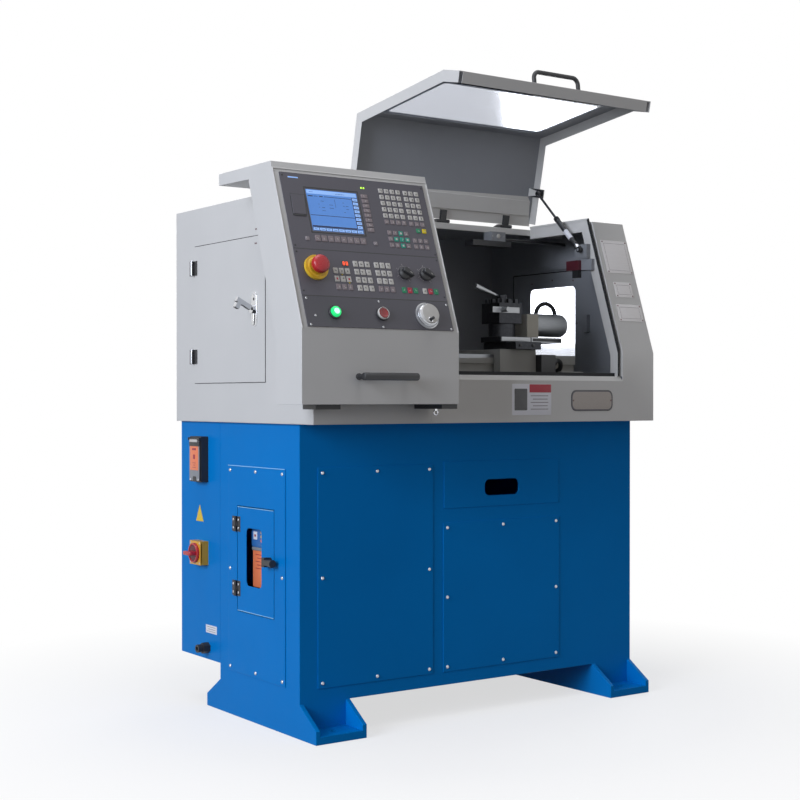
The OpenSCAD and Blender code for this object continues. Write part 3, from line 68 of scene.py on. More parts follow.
def addNode(tree, kind, settings=None, **inputs):
    # an input is a value, a hex colour, a socket, or a node whose first output feeds it
    node = tree.nodes.new("ShaderNode" + kind)
    for key, value in (settings or {}).items():
        setattr(node, key, value)
    for key, value in inputs.items():
        socket = node.inputs[key.replace("_", " ")]
        if isinstance(value, bpy.types.Node):
            value = value.outputs[0]
        if isinstance(value, bpy.types.NodeSocket):
            tree.links.new(value, socket)
        else:
            socket.default_value = toLinear(value) if isinstance(value, str) else value
    return node


def openMaterial(name):
    material = bpy.data.materials.new(name)
    material.use_nodes = True
    material.node_tree.nodes.clear()
    place = addNode(material.node_tree, "TexCoord").outputs["Object"]
    return material, material.node_tree, place


def closeMaterial(material, colour, rough, bump=None, **values):
    # rough is (texture, least, most) and bump is (texture, strength, depth in mm)
    tree = material.node_tree
    texture, least, most = rough
    if bump:
        height, strength, depth = bump
        values["Normal"] = addNode(tree, "Bump", Height=height, Strength=strength, Distance=depth * mm)
    shader = addNode(
        tree, "BsdfPrincipled", Base_Color=colour,
        Roughness=addNode(tree, "MapRange", Value=texture, To_Min=least, To_Max=most), **values)
    addNode(tree, "OutputMaterial", Surface=shader)
    return material


def perMetre(spacing):  # texture scale from a spacing in millimetres
    return 1000.0 / spacing


def noise(tree, place, spacing, detail=2.0, **inputs):
    return addNode(tree, "TexNoise", Vector=place, Scale=perMetre(spacing), Detail=detail, **inputs)


def stretched(tree, place, along):
    return addNode(tree, "Mapping", Vector=place, Scale=along)


def blend(tree, by, first, second):
    return addNode(tree, "MixRGB", Fac=by, Color1=first, Color2=second)


def powderCoat(name, paint, shade, rough=(0.34, 0.46), peel=3.0, gloss=0.5):
    # polyester powder baked on sheet steel: even colour under a soft skin of orange peel.
    # The peel is 1 to 2 mm in life and drawn coarser, so that it shows
    material, tree, place = openMaterial(name)
    drift, patches, skin = noise(tree, place, 170, 3.0), noise(tree, place, 40, 4.0), noise(tree, place, peel)
    return closeMaterial(
        material, blend(tree, drift, paint, shade), (patches, *rough), (skin, 0.2, 0.15), Specular_IOR_Level=gloss)


def castEnamel(name, paint, shade):
    # enamel over a grey iron casting: the sand of the mould shows through the paint
    material, tree, place = openMaterial(name)
    drift, sand = noise(tree, place, 60, 4.0), noise(tree, place, 3.5, 4.0, Roughness=0.6)
    return closeMaterial(material, blend(tree, drift, paint, shade), (sand, 0.42, 0.66), (sand, 0.45, 0.4))


def workedMetal(name, metal, shade, along=(0.06, 1, 1), grain=1.5, rough=(0.24, 0.42), metallic=1.0, depth=0.1):
    # ground, turned or drawn metal: parallel tool lines that stretch the highlight, stained in soft clouds
    material, tree, place = openMaterial(name)
    lines = noise(tree, stretched(tree, place, along), grain, 3.0, Roughness=0.6)
    clouds = noise(tree, place, 16, 4.0)
    return closeMaterial(
        material, blend(tree, lines, metal, shade), (clouds, *rough), (lines, 0.25, depth), Metallic=metallic)


def mouldedPlastic(name, colour, shade, rough=(0.42, 0.58), grain=1.2, depth=0.12):
    # ABS, nylon or polycarbonate from a spark-eroded mould: a fine pebble and a weak highlight
    material, tree, place = openMaterial(name)
    mottle = noise(tree, place, 14, 3.0)
    pebble = addNode(tree, "TexVoronoi", Vector=place, Scale=perMetre(grain))
    return closeMaterial(
        material, blend(tree, mottle, colour, shade), (mottle, *rough), (pebble, 0.25, depth), IOR=1.53)


def printedFilm(name, colour, shade):
    # polyester or vinyl film, screen printed: flat colour under a fine velvet texture that breaks up reflections
    material, tree, place = openMaterial(name)
    mottle, velvet = noise(tree, place, 60, 4.0), noise(tree, place, 1.0)
    return closeMaterial(
        material, blend(tree, mottle, colour, shade), (velvet, 0.36, 0.5), (velvet, 0.2, 0.06), IOR=1.57)


def extrudedRubber(name, colour, shade):
    # EPDM edge trim and belt: dull black with faint lines along its length
    material, tree, place = openMaterial(name)
    lines = noise(tree, stretched(tree, place, (1, 1, 0.15)), 1.8, 3.0)
    return closeMaterial(
        material, blend(tree, lines, colour, shade), (lines, 0.6, 0.85), (lines, 0.4, 0.15),
        IOR=1.5, Specular_IOR_Level=0.3)


def clearSheet(name, tint):
    # extruded polycarbonate: clear with a faint blue cast, wavy from the rollers and hazed by wiping
    material, tree, place = openMaterial(name)
    haze, waves = noise(tree, place, 55, 3.0), noise(tree, stretched(tree, place, (1, 0.3, 1)), 110)
    return closeMaterial(
        material, tint, (haze, 0.02, 0.08), (waves, 0.1, 0.4), IOR=1.585, Transmission_Weight=1.0)


def litPlastic(name, colour, deep, power):
    # a lens or display lit from behind: its colour glows unevenly and keeps a plastic gloss
    material, tree, place = openMaterial(name)
    clouds = noise(tree, place, 9, 3.0)
    glow = blend(tree, clouds, colour, deep)
    return closeMaterial(
        material, glow, (clouds, 0.16, 0.3), IOR=1.5, Emission_Color=glow, Emission_Strength=power)


def keyCap(name, colour, shade):
    return mouldedPlastic(name, colour, shade, grain=0.8)


finish = {}


def addLooks(make, **table):
    finish.update({coat: make(*values) for coat, values in table.items()})


addLooks(
    powderCoat,  # name, paint, shade, roughness, peel, gloss
    bluePaint=("bluePowderCoat", "#007fce", "#0079c6", (0.36, 0.46), 3.0, 0.07),
    whitePaint=("whitePowderCoat", "#d6d4d0", "#cecdc9", (0.34, 0.46), 3.0, 0.35),
    # darker grey for faces inside the work area: painted shade, standing in for the white paint in shade
    insidePaint=("greyPowderCoatInside", "#95989d", "#8c8f94", (0.42, 0.55), 3.0, 0.3),
    blackPaint=("blackPowderCoat", "#1f2023", "#27282b", (0.36, 0.5)),
    stripPaint=("anthracitePowderCoat", "#504f56", "#4a494f", (0.42, 0.55), 2.0),
    # paler blue for the beads on the side cover's edges: a painted highlight
    edgePaint=("blueRolledEdge", "#8fcdf2", "#7cc3ee", (0.2, 0.3)))
addLooks(
    castEnamel,
    casting=("paintedCasting", "#a6a6a3", "#969693"),
    beigeCasting=("beigeHousing", "#c9c6ba", "#bdbaae"))
addLooks(
    workedMetal,  # name, metal, shade, stretch, grain, roughness, metallic, depth
    ways=("groundBedWays", "#94969a", "#6c6f74"),
    turned=("turnedSteel", "#c4c6ca", "#9a9da2", (1, 0.12, 0.12), 1.1),
    motorCan=("drawnMotorCan", "#9fa2a6", "#8d9094", (0.1, 1, 1), 2.4, (0.42, 0.56), 0.85),
    toolBar=("groundToolShank", "#a6a8ab", "#8c8f93", (0.08, 1, 1), 1.8, (0.32, 0.46)),
    chrome=("chromePlate", "#d9dadd", "#c8cace", (1, 1, 1), 12, (0.06, 0.16), 1.0, 0.02),
    zinc=("zincPlatedScrew", "#c6c7c9", "#a2a4a8", (1, 1, 1), 4, (0.24, 0.4), 1.0, 0.03),
    namePlate=("satinAluminiumPlate", "#e0dddc", "#d3d0cf", (0.06, 1, 1), 2.0, (0.5, 0.62), 0.2),
    castPlate=("greyCastPlate", "#9a938e", "#8d8782", (1, 1, 1), 5.0, (0.5, 0.62), 0.3),
    # blackened in hot salts: a thin oxide with an oily lustre, worn lighter in clouds; on the lock handle's downward
    # faces it is painted shade
    oxide=("blackOxideSteel", "#26272b", "#45474c", (1, 1, 1), 7, (0.32, 0.5), 0.75),
    browned=("brownedScrewHeads", "#4a3b3c", "#856c6c", (1, 1, 1), 6, (0.35, 0.5), 0.7))
addLooks(
    mouldedPlastic,  # name, colour, shade, roughness, grain, depth
    nylon=("blackNylon", "#1b1c1e", "#242528"),
    greyPlastic=("greyAbs", "#8d9094", "#84878b"),
    redPlastic=("redPolycarbonate", "#c5272f", "#b32029", (0.22, 0.34), 1.2, 0.03),
    darkRed=("darkRedNylon", "#561624", "#4a1320"),
    yellowPlastic=("yellowAbs", "#ecc133", "#e2b72b", (0.32, 0.44)),
    amberPlastic=("amberAbs", "#dda32a", "#d29a26", (0.32, 0.44)),
    inverterBlue=("blueInverterCase", "#2b6cb0", "#2766a8"),
    redLamp=("redButtonCap", "#a33a3c", "#8f2f32", (0.2, 0.32), 1.2, 0.02))
addLooks(
    keyCap,
    keyWhite=("whiteKeyCap", "#cfccc6", "#c4c1bb"),
    keyGrey=("greyKeyCap", "#8d8589", "#837b80"),
    keyDim=("dullRoseKeyCap", "#8c8083", "#7e7376"),
    keyGreen=("greenKeyCap", "#16875c", "#127a52"),
    keyTeal=("tealKeyCap", "#1f9d86", "#1a8f79"),
    keyRed=("redKeyCap", "#c02f45", "#b0283c"),
    keyYellow=("yellowKeyCap", "#e8cf1e", "#dcc218"))
addLooks(
    printedFilm,
    panelFilm=("controlPanelFilm", "#504e57", "#4a4851"),
    orangeLabel=("orangeLabel", "#f4875a", "#ee7f52"),
    whiteLabel=("whiteLabel", "#e8e8ec", "#dedee4"),
    blackLabel=("blackPrint", "#1d1d20", "#26262a"),
    redLabel=("redPrint", "#a3172f", "#98142b"),
    yellowLabel=("yellowLabel", "#e8c52a", "#e0bc24"))
addLooks(
    extrudedRubber,
    rubber=("rubberEdgeTrim", "#17181a", "#26272a"), belt=("timingBeltRubber", "#141516", "#202123"))
addLooks(clearSheet, clear=("clearPolycarbonate", "#eef2fc"))
addLooks(
    litPlastic,  # name, colour, deeper colour, power
    greenLens=("greenLampLens", "#1fd977", "#12b861", 1.0),
    greenHeart=("greenLampHeart", "#c8ffe4", "#8df7c4", 1.3),
    orangeDigits=("orangeDigits", "#ff6a3a", "#ff4a28", 1.2),
    greenDots=("greenDots", "#c9ff4a", "#a9f03a", 1.3),
    screenBlue=("displayBlue", "#5589d2", "#4e82ca", 0.40),
    screenPale=("displayPale", "#8db6ee", "#86aeea", 0.5),
    screenDark=("displayNavy", "#132248", "#0f1c3e", 0.2))
print("materials made:", len(finish))


def setOut(origin, across, up):
    # frame on a face, in mm: x across it, y up it, z out of it
    x, y = Vector(across).normalized(), Vector(up).normalized()
    rows = Matrix((x, y, x.cross(y))).transposed().to_4x4()
    rows.translation = Vector(origin)
    return Matrix.Scale(mm, 4) @ rows


tilt = {"console": radians(19.734), "column": radians(18.6)}
room = Matrix.Scale(mm, 4)
onConsole = setOut((0, -421.5, 1007), (1, 0, 0), (0, sin(tilt["console"]), cos(tilt["console"])))
onColumn = setOut((0, -294, 975), (1, 0, 0), (0, sin(tilt["column"]), cos(tilt["column"])))


def onLeft(x):
    return setOut((x, 0, 0), (0, -1, 0), (0, 0, 1))


def onFront(y):
    return setOut((0, y, 0), (1, 0, 0), (0, 0, 1))


def spot(face, x, y, turn=0.0):  # frame at a place on a face, turned in its plane
    return face @ Matrix.Translation((x, y, 0)) @ Matrix.Rotation(turn, 4, "Z")


def newPiece():
    return {"mesh": bmesh.new(), "coats": []}


def loft(piece, coat, rings, at=room):
    # skin over rings of equally many points: closed at both ends, or joined up where the last ring is the first
    joined = rings[0] == rings[-1]
    rows = [[piece["mesh"].verts.new(at @ Vector(p)) for p in ring] for ring in (rings[:-1] if joined else rings)]
    faces = [piece["mesh"].faces.new(row) for row in (rows[0][::-1], rows[-1])] if not joined else []
    rows += rows[:1] if joined else []
    for low, high in zip(rows, rows[1:]):
        for i in range(len(low)):
            j = (i + 1) % len(low)
            faces.append(piece["mesh"].faces.new((low[i], low[j], high[j], high[i])))
    if coat not in piece["coats"]:
        piece["coats"].append(coat)
    for face in faces:
        face.material_index = piece["coats"].index(coat)
        face.smooth = True


def roundedOutline(w, h, corner, steps=4):
    corner = max(min(corner, w / 2 - 0.01, h / 2 - 0.01), 0.02)
    middles = ((w / 2 - corner, h / 2 - corner), (corner - w / 2, h / 2 - corner),
               (corner - w / 2, corner - h / 2), (w / 2 - corner, corner - h / 2))
    points = []
    for quarter, (x, y) in enumerate(middles):
        for step in range(steps + 1):
            turn = pi / 2 * (quarter + step / steps)
            points.append((x + corner * cos(turn), y + corner * sin(turn)))
    return points


def slab(piece, coat, x, y, w, h, low, high, corner=1.0, edge=0.4, at=room, crown=0.0):
    # plate or key cap centred on x, y, from one height to another, its upper edge rounded
    rings = [[(x + px, y + py, low) for px, py in roundedOutline(w, h, corner)]]
    for step in range(4):
        turn = pi / 2 * step / 3
        inset = edge * (1 - cos(turn))
        top = high - crown - edge * (1 - sin(turn))
        rings.append([(x + px, y + py, top) for px, py in
                      roundedOutline(w - 2 * inset, h - 2 * inset, max(corner - inset, 0.1))])
    if crown:
        for share, rise in ((0.7, 0.6), (0.35, 0.9), (0.05, 1.0)):
            rings.append([(x + px * share, y + py * share, high - crown * (1 - rise)) for px, py in
                          roundedOutline(w - 2 * edge, h - 2 * edge, corner)])
    loft(piece, coat, rings, at)


def plates(piece, rows, at):  # a row is coat, x, y, w, h, low, high, corner, edge
    for row in rows:
        slab(piece, *row, at)


def turned(piece, coat, x, y, profile, at=room, steps=40, knurl=0.0):
    # lathe work about an axis out of the face: profile is (radius, height) from the foot up
    turns = [(2 * pi * i / steps, knurl * (i % 2)) for i in range(steps)]
    loft(piece, coat, [[(x + (max(r, 0.05) - dip) * cos(turn), y + (max(r, 0.05) - dip) * sin(turn), z)
                        for turn, dip in turns] for r, z in profile], at)


def outline(piece, coat, points, low, high, edge=0.4, at=room):
    # plate of any convex outline, points in turn, with a small bevel round its upper edge
    mx = sum(p[0] for p in points) / len(points)
    my = sum(p[1] for p in points) / len(points)
    reach = max(hypot(p[0] - mx, p[1] - my) for p in points)
    shrink = 1 - edge / reach
    rings = [[(x, y, low) for x, y in points], [(x, y, high - edge) for x, y in points],
             [(mx + (x - mx) * shrink, my + (y - my) * shrink, high) for x, y in points]]
    loft(piece, coat, rings, at)


def mirrored(half):  # closed outline from the points of one half, which starts or ends on the x axis
    return half + [(x, -y) for x, y in reversed(half) if y]


def tapered(piece, coat, shape, steps, at):  # steps are (share of the outline, height) from the foot up
    loft(piece, coat, [[(x * share, y * share, z) for x, y in shape] for share, z in steps], at)


def smoothPath(points, steps=8):
    # Catmull-Rom curve through the points
    ends = [points[0]] + list(points) + [points[-1]]
    path = []
    for a, b, c, d in zip(ends, ends[1:], ends[2:], ends[3:]):
        a, b, c, d = Vector(a), Vector(b), Vector(c), Vector(d)
        for step in range(steps):
            t = step / steps
            path.append(0.5 * (2 * b + (c - a) * t + (2 * a - 5 * b + 4 * c - d) * t * t
                               + (3 * b - 3 * c + d - a) * t ** 3))
    return path + [Vector(points[-1])]


def tube(piece, coat, path, radius, at=room, steps=12):
    # round bar along a path; radius is one number or one for each point
    radii = radius if isinstance(radius, list) else [radius] * len(path)
    path = [Vector(p) for p in path]
    side = None
    rings = []
    for i, point in enumerate(path):
        ahead = (path[min(i + 1, len(path) - 1)] - path[max(i - 1, 0)]).normalized()
        if side is None:
            side = ahead.cross(Vector((0, 0, 1)) if abs(ahead.z) < 0.9 else Vector((1, 0, 0)))
        side = (side - ahead * side.dot(ahead)).normalized()
        up = ahead.cross(side)
        turns = [2 * pi * k / steps for k in range(steps)]
        rings.append([point + radii[i] * (side * cos(turn) + up * sin(turn)) for turn in turns])
    loft(piece, coat, rings, at)


def bar(piece, coat, a, b, radius, at=room, steps=16):
    tube(piece, coat, [a, b], radius, at, steps)


def roundHeadScrew(piece, x, y, low, at, r, high):
    # button head with a hexagon socket, drawn as a black disc on its crown: painted shade in the socket
    head = [(r, low), (r, low + 0.4 * high), (0.82 * r, low + 0.8 * high), (0.55 * r, low + high)]
    turned(piece, "zinc", x, y, head, at, 16)
    turned(piece, "blackLabel", x, y, [(0.42 * r, low + high - 0.3), (0.42 * r, low + high + 0.03)], at, 6)


def newObject(name, data):
    thing = bpy.data.objects.new(name, data)
    bpy.context.scene.collection.objects.link(thing)
    return thing


def handOver(piece, name, body):
    # the finished piece goes into the scene and rides on its body
    bmesh.ops.recalc_face_normals(piece["mesh"], faces=piece["mesh"].faces)
    mesh = bpy.data.meshes.new(name)
    piece["mesh"].to_mesh(mesh)
    piece["mesh"].free()
    for coat in piece["coats"]:
        mesh.materials.append(finish[coat])
    mesh.set_sharp_from_angle(angle=radians(40))
    thing = newObject(name, mesh)
    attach(thing, body)
    return thing


# round that the edges of sheet metal and castings get, in mm
edges = {"stand": 1.0, "covers": 0.7, "sideCovers": 1.3, "enclosure": 0.8, "console": 0.8, "casting": 1.2,
         "jaws": 0.5, "chuck": 0.8, "motors": 0.8, "drive": 0.6, "turret": 0.6}


def dress(name, coat, edge=None, parts=()):
    # finish of a node; parts are (coat, test) pairs, and a test looks at a face's middle and normal in mm
    node = nodes[name]
    mesh = node.data
    mesh.materials.clear()
    for each in [coat] + [other for other, test in parts]:
        mesh.materials.append(finish[each])
    for face in mesh.polygons:
        face.use_smooth = True
        face.material_index = 0
        for index, (other, test) in enumerate(parts):
            if test(face.center / mm, face.normal):
                face.material_index = index + 1
                break
    if edge:
        weld = node.modifiers.new("weld", "WELD")
        weld.merge_threshold = 0.00002
        bevel = node.modifiers.new("edges", "BEVEL")
        bevel.width = edges[edge] * mm
        bevel.segments = 2
        bevel.limit_method = "ANGLE"
        bevel.angle_limit = radians(40)
        bevel.use_clamp_overlap = False
        bevel.loop_slide = False
        shading = node.modifiers.new("shading", "WEIGHTED_NORMAL")
        shading.weight = 100


def inBox(x0, x1, y0, y1, z0, z1):
    return lambda p, n: x0 < p.x < x1 and y0 < p.y < y1 and z0 < p.z < z1


def inConsole(x0, x1, s0, s1, h0, h1):
    # the same in the console's own frame: across, up the slope, out of it
    back = onConsole.inverted()

    def test(p, n):
        q = back @ (p * mm)
        return x0 < q.x < x1 and s0 < q.y < s1 and h0 < q.z < h1
    return test


for coat, edge, names in (
        ("bluePaint", "stand", "stand_frame"), ("bluePaint", "covers", "front_covers drawer"),
        ("bluePaint", "sideCovers", "side_cover"), ("whitePaint", "enclosure", "headstock_guard"),
        ("whitePaint", "console", "console_shell"), ("beigeCasting", "casting", "headstock"),
        ("casting", "casting", "saddle"), ("toolBar", "jaws", "chuck_jaw_1 chuck_jaw_2 chuck_jaw_3"),
        ("turned", "chuck", "chuck"), ("turned", None, "spindle ball_screw"),
        ("blackPaint", "motors", "spindle_motor cross_motor"), ("blackPaint", None, "strut_cylinder console_rail"),
        ("nylon", "drive", "inverter"), ("nylon", None, "side_door_latch socket_flap lid_handle"),
        ("zinc", None, "cover_screws motor_pulley"), ("clear", None, "end_door_window lid_window"),
        ("greyPlastic", None, "end_door_catch"), ("oxide", None, "strut_rod"),
        ("chrome", None, "console_latch_pin"), ("panelFilm", None, "control_panel"),
        ("screenBlue", None, "screen"), ("belt", None, "drive_belt")):
    for name in names.split():
        dress(name, coat, edge)
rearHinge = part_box("cabinet_door")[0].x / mm + 30
dress("side_door", "bluePaint", "sideCovers", [("blackPaint", lambda p, n: p.x < -562.3)])
dress("cabinet_door", "bluePaint", "covers", [
    ("blackPaint", lambda p, n: p.x < rearHinge and p.y > 440.2)])
dress("electrical_cabinet", "bluePaint", None, [
    ("zinc", inBox(-501, 501, 211.5, 215.4, 186, 724)),
    ("greyPlastic", inBox(-465, 465, 215.4, 310, 540, 694)),
    ("nylon", inBox(-465, 465, 215.4, 340, 236, 420)),
    ("amberPlastic", inBox(-600, -560.4, 270, 350, 385, 455)),
    ("nylon", inBox(-600, -560.4, 270, 350, 614, 743)),
    ("nylon", inBox(-600, -560.4, 250, 310, 130, 190)),
])
dress("hinge_brackets", "blackPaint", None, [("greyPlastic", inBox(405, 445, -175, -115, 1245, 1300))])
# faces inside the work area (rear wall, roof underside, right wall) take the darker grey: painted shade
dress("enclosure", "whitePaint", "enclosure", [
    ("insidePaint", lambda p, n: n.y < -0.5 and p.y > 105 and -217 < p.x < 570 and p.z > 790),
    ("insidePaint", lambda p, n: n.z < -0.5 and p.y > 105 and p.x > -217 and p.z > 1300),
    ("insidePaint", lambda p, n: n.x < -0.5 and p.x > 565)])
dress("guard_door", "whitePaint", "covers", [
    ("blackPaint", lambda p, n: p.x < -573.3 and p.y > 250), ("chrome", lambda p, n: p.x < -573.3)])
# downward faces of the chrome handle take the dark blackened coat: painted shade under it
dress("lock_handle", "chrome", None, [("oxide", lambda p, n: n.z < -0.25)])
# the end door's inner face takes the darker grey: painted shade
dress("end_door", "whitePaint", "covers", [
    ("blackPaint", lambda p, n: p.x > 573.3), ("insidePaint", lambda p, n: n.x < -0.5 and p.x < 571.5)])
dress("door_seal", "rubber", None, [("whitePaint", lambda p, n: p.z > 1352)])
hingeBlocks = (-117.5, 116.5, 350.5)
# the lid's inner faces take the darker grey: painted shade; the strip of its lower rear flange keeps the white
dress("lid", "whitePaint", "enclosure", [
    ("nylon", inBox(418.5, 428.2, 15, 55, 1440, 1480)),
    ("blackPaint", lambda p, n: p.z < 1392 and p.y > 85 and min(abs(p.x - x) for x in hingeBlocks) < 10.6),
    ("whitePaint", lambda p, n: n.y < -0.5 and 1395 < p.z < 1450 and p.x < 420),
    ("insidePaint", lambda p, n: n.y < -0.5 and p.y > 40 and p.z > 1450),
    ("insidePaint", lambda p, n: n.z < -0.5 and p.z > 1600 and -214 < p.x < 447)])
# faces of the switch picked by place take the darker grey of the inside: painted shade
dress("interlock_switch", "darkRed", None, [
    ("nylon", lambda p, n: p.z < 1217.5), ("insidePaint", lambda p, n: p.y < -144.5 or p.x > 437)])
dress("work_light", "blackPaint", None, [("greyPlastic", inBox(266, 320, 40, 120, 1311, 1345))])
dress("operator_panel", "panelFilm", None, [("yellowPlastic", inConsole(-646, -578, 120, 190, 3.2, 30))])
dress("switch_panel", "stripPaint", None, [
    ("zinc", inConsole(-560, -520, 20, 70, 3.2, 12)), ("keyWhite", inConsole(-480, -420, 10, 80, 3.2, 12)),
    ("zinc", inConsole(-400, -250, 0, 84, 3.2, 12))])
dress("bed", "casting", "casting", [
    ("ways", lambda p, n: p.z > 955), ("blackPaint", lambda p, n: p.x < -370 and p.y < -165 and 850 < p.z < 930)])
dress("cross_slide", "oxide", "casting", [("beigeCasting", inBox(217, 260, -160, -60, 1018.5, 1090))])
dress("turret", "oxide", "turret", [("toolBar", lambda p, n: p.y < -155.2 and 1083 < p.z < 1101)])
dress("clamp_lever", "toolBar", None, [("oxide", lambda p, n: p.x > 134)])
dress("turret_motor", "motorCan", None, [("rubber", lambda p, n: p.z > 1088.2), ("oxide", lambda p, n: n.x < -0.9)])
print("nodes dressed")


onPanel = spot(onConsole, -662.5, 0)  # x from the panels' left edge

keypad = {
    "foot": 2.9, "top": 4.5,
    "blocks": [  # first key's middle, width, height, colours of the rows from the lowest up, columns, rows, steps
        (73.0, 234.0, 15.0, 16.0, ["keyDim"], 8, 1, 18.5, 0),
        (232.0, 266.5, 19.0, 10.5, ["keyDim"] * 8, 1, 8, 0, 13.0),
        (43.5, 231.5, 11.0, 10.0, ["keyGrey"]),
        (237.5, 230.5, 11.0, 10.0, ["keyGrey"]),
        (285.0, 292.7, 12.5, 12.0, ["keyDim"] + ["keyWhite"] * 5, 4, 6, 17.4, 17.0),
        (359.5, 292.7, 12.5, 12.0, ["keyDim"] + ["keyWhite"] * 5, 3, 6, 17.1, 17.0),
        (376.5, 274.5, 12.0, 12.0, ["keyGreen"]),
        (394.5, 274.5, 12.0, 12.0, ["keyYellow"]),
        (286.5, 229.8, 12.0, 12.0, ["keyDim"] * 3, 4, 3, 16.8, 16.7),
        (359.5, 229.8, 12.0, 12.0, ["keyDim"] * 2, 3, 2, 17.0, 16.7),
        (105.0, 109.5, 13.0, 15.0, ["keyDim", "keyWhite", "keyWhite"], 3, 3, 16.8, 21.0),
        (165.5, 109.2, 13.0, 15.0, ["keyWhite"] * 4, 3, 4, 17.2, 21.0),
        (226.5, 109.2, 13.0, 15.0, ["keyDim"] + ["keyWhite"] * 3, 3, 4, 17.2, 21.0),
        (294.5, 109.5, 12.0, 15.0, ["keyGreen"]),
        (311.9, 109.5, 12.0, 15.0, ["keyRed"]),
        (329.3, 109.5, 12.0, 15.0, ["keyGreen"]),
        (357.0, 109.5, 12.0, 15.0, ["keyWhite"]),
        (374.2, 109.5, 12.0, 15.0, ["keyRed"]),
        (391.4, 109.5, 12.0, 15.0, ["keyGreen"]),
    ],
    "arrows": [(2, 2), (1, 1), (2, 1), (3, 1), (2, 0)],  # column and row of the green keys in the cursor block
    "redSigns": [(105.0, 130.5), (138.6, 130.5)], "litSigns": [(121.8, 142.0), (138.6, 121.5)],
}

rng = random.Random(7)
keys = newPiece()
for x0, s0, w, h, colours, *grid in keypad["blocks"]:
    columns, rows, dx, ds = grid or (1, 1, 0, 0)
    for column in range(columns):
        for row in range(rows):
            x, s = x0 + column * dx, s0 + row * ds
            coat = colours[row]
            cursor = (x0, s0) == (286.5, 229.8) and (column, row) in keypad["arrows"]
            if cursor:
                coat = "keyTeal"
            slab(keys, coat, x, s, w, h, keypad["foot"], keypad["top"], 1.6, 0.7, onPanel, 0.15)
            top = keypad["top"]
            if cursor and (column, row) != (2, 1):
                slab(keys, "keyWhite", x, s, 5.4, 5.4, top - 0.3, top + 0.06, 0.6, 0.05, onPanel)
                continue
            # the legend is a few short strokes, not letters
            ink = "blackLabel" if coat == "keyWhite" else "keyWhite"
            if coat == "keyDim":
                slab(keys, "keyGrey", x, s - h * 0.27, w * 0.62, h * 0.2, top - 0.3, top + 0.05, 0.3, 0.04, onPanel)
            for stroke in range(3 if coat == "keyWhite" else 2):
                upright = rng.random() < 0.5
                length = rng.uniform(3.0, 5.2)
                wide, tall = (1.0, length) if upright else (length, 1.0)
                slab(keys, ink, x + rng.uniform(-2.2, 2.2), s + rng.uniform(-1.6, 2.4), wide, tall,
                     top - 0.3, top + 0.07, 0.3, 0.04, onPanel)
for x, s in keypad["redSigns"]:
    slab(keys, "keyRed", x, s, 4.2, 5.0, 4.3, 4.6, 0.5, 0.05, onPanel)
for x, s in keypad["litSigns"]:
    slab(keys, "keyYellow", x, s, 3.0, 3.0, 3.0, 3.9, 0.6, 0.3, onPanel)
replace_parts(handOver(keys, "keyCaps", "console"), "panel_keys")

display = {"x": 64.0, "s": 254.0, "glass": 2.6, "menuKeys": 8}
picture = newPiece()


def printOnScreen(x, s, w, h, lift=0.06, coat="screenDark"):
    slab(picture, coat, display["x"] + x + w / 2, display["s"] + s + h / 2, w, h,
         display["glass"] - 0.2, display["glass"] + lift, 0.2, 0.02, onPanel)


printOnScreen(2, 98.5, 142, 10.0, coat="screenPale")
for x, s, w, h in ((4, 91.0, 14, 2.6), (20, 92.0, 12, 1.2), (36, 91.4, 10, 2.4), (50, 92.0, 78, 1.3),
                   (84, 102.0, 26, 1.4), (8, 103.0, 12, 1.2)):
    printOnScreen(x, s, w, h)
for step in range(display["menuKeys"]):  # labels down the right side and along the foot, parted by dark gaps
    low, left, odd = 12 + step * 10.6, step * 17.9, step % 2
    printOnScreen(129, low, 17, 10.6)
    printOnScreen(131, low + 1.6, 14.4, 7.4, 0.1, "screenPale")
    printOnScreen(2 + left, 0.8, 17.9, 8.4)
    printOnScreen(2.9 + left, 1.6, 16.1, 6.6, 0.1, "screenPale")
    printOnScreen(6 + left, 4.2, 8 + 2 * odd, 1.0, 0.14)
    printOnScreen(134, low + 4.6, 6 + 3 * odd, 1.0, 0.14)
printOnScreen(2, 10.0, 127, 4.2)
printOnScreen(2, 41.0, 127, 1.5)
for line in range(4):  # rows of readings: short dashes
    for x, wide in ((30, 3), (38, 9), (60, 12), (100, 5), (108, 8)):
        if (line + x) % 3:
            printOnScreen(x, 80 - line * 8.5, wide, 0.9)
printOnScreen(78, 66, 0.7, 22)
handOver(picture, "displayPicture", "console")

panelTrim = newPiece()
plates(panelTrim, [
    ("blackLabel", 210, 84.0, 420, 2.4, 2.5, 3.08, 0.2, 0.03),  # joints between the three panels
    ("blackLabel", 210, 204.0, 420, 2.4, 2.5, 3.08, 0.2, 0.03),
    ("nylon", 137, 249.5, 157, 3.0, 2.6, 3.5, 0.8, 0.4),  # frame round the display
    ("nylon", 137, 368.5, 157, 3.0, 2.6, 3.5, 0.8, 0.4),
    ("nylon", 60, 309, 3.0, 118, 2.6, 3.5, 0.8, 0.4),
    ("nylon", 214, 309, 3.0, 118, 2.6, 3.5, 0.8, 0.4),
    ("keyGrey", 35, 391.5, 30, 4.6, 2.8, 3.3, 0.8, 0.2),
    ("screenPale", 35, 391.5, 28, 3.2, 3.1, 3.4, 0.6, 0.1)], onPanel)
outline(panelTrim, "nylon", [(15.5, 290), (54.5, 290), (59.5, 347.5), (17.5, 348)], 2.8, 3.6, 0.6, onPanel)
outline(panelTrim, "panelFilm", [(17.5, 294), (53.0, 294), (57.3, 346), (19.3, 346.3)], 3.4, 4.6, 0.8, onPanel)
slab(panelTrim, "blackLabel", 36, 291.5, 33, 3.2, 3.2, 4.7, 0.6, 0.3, onPanel)
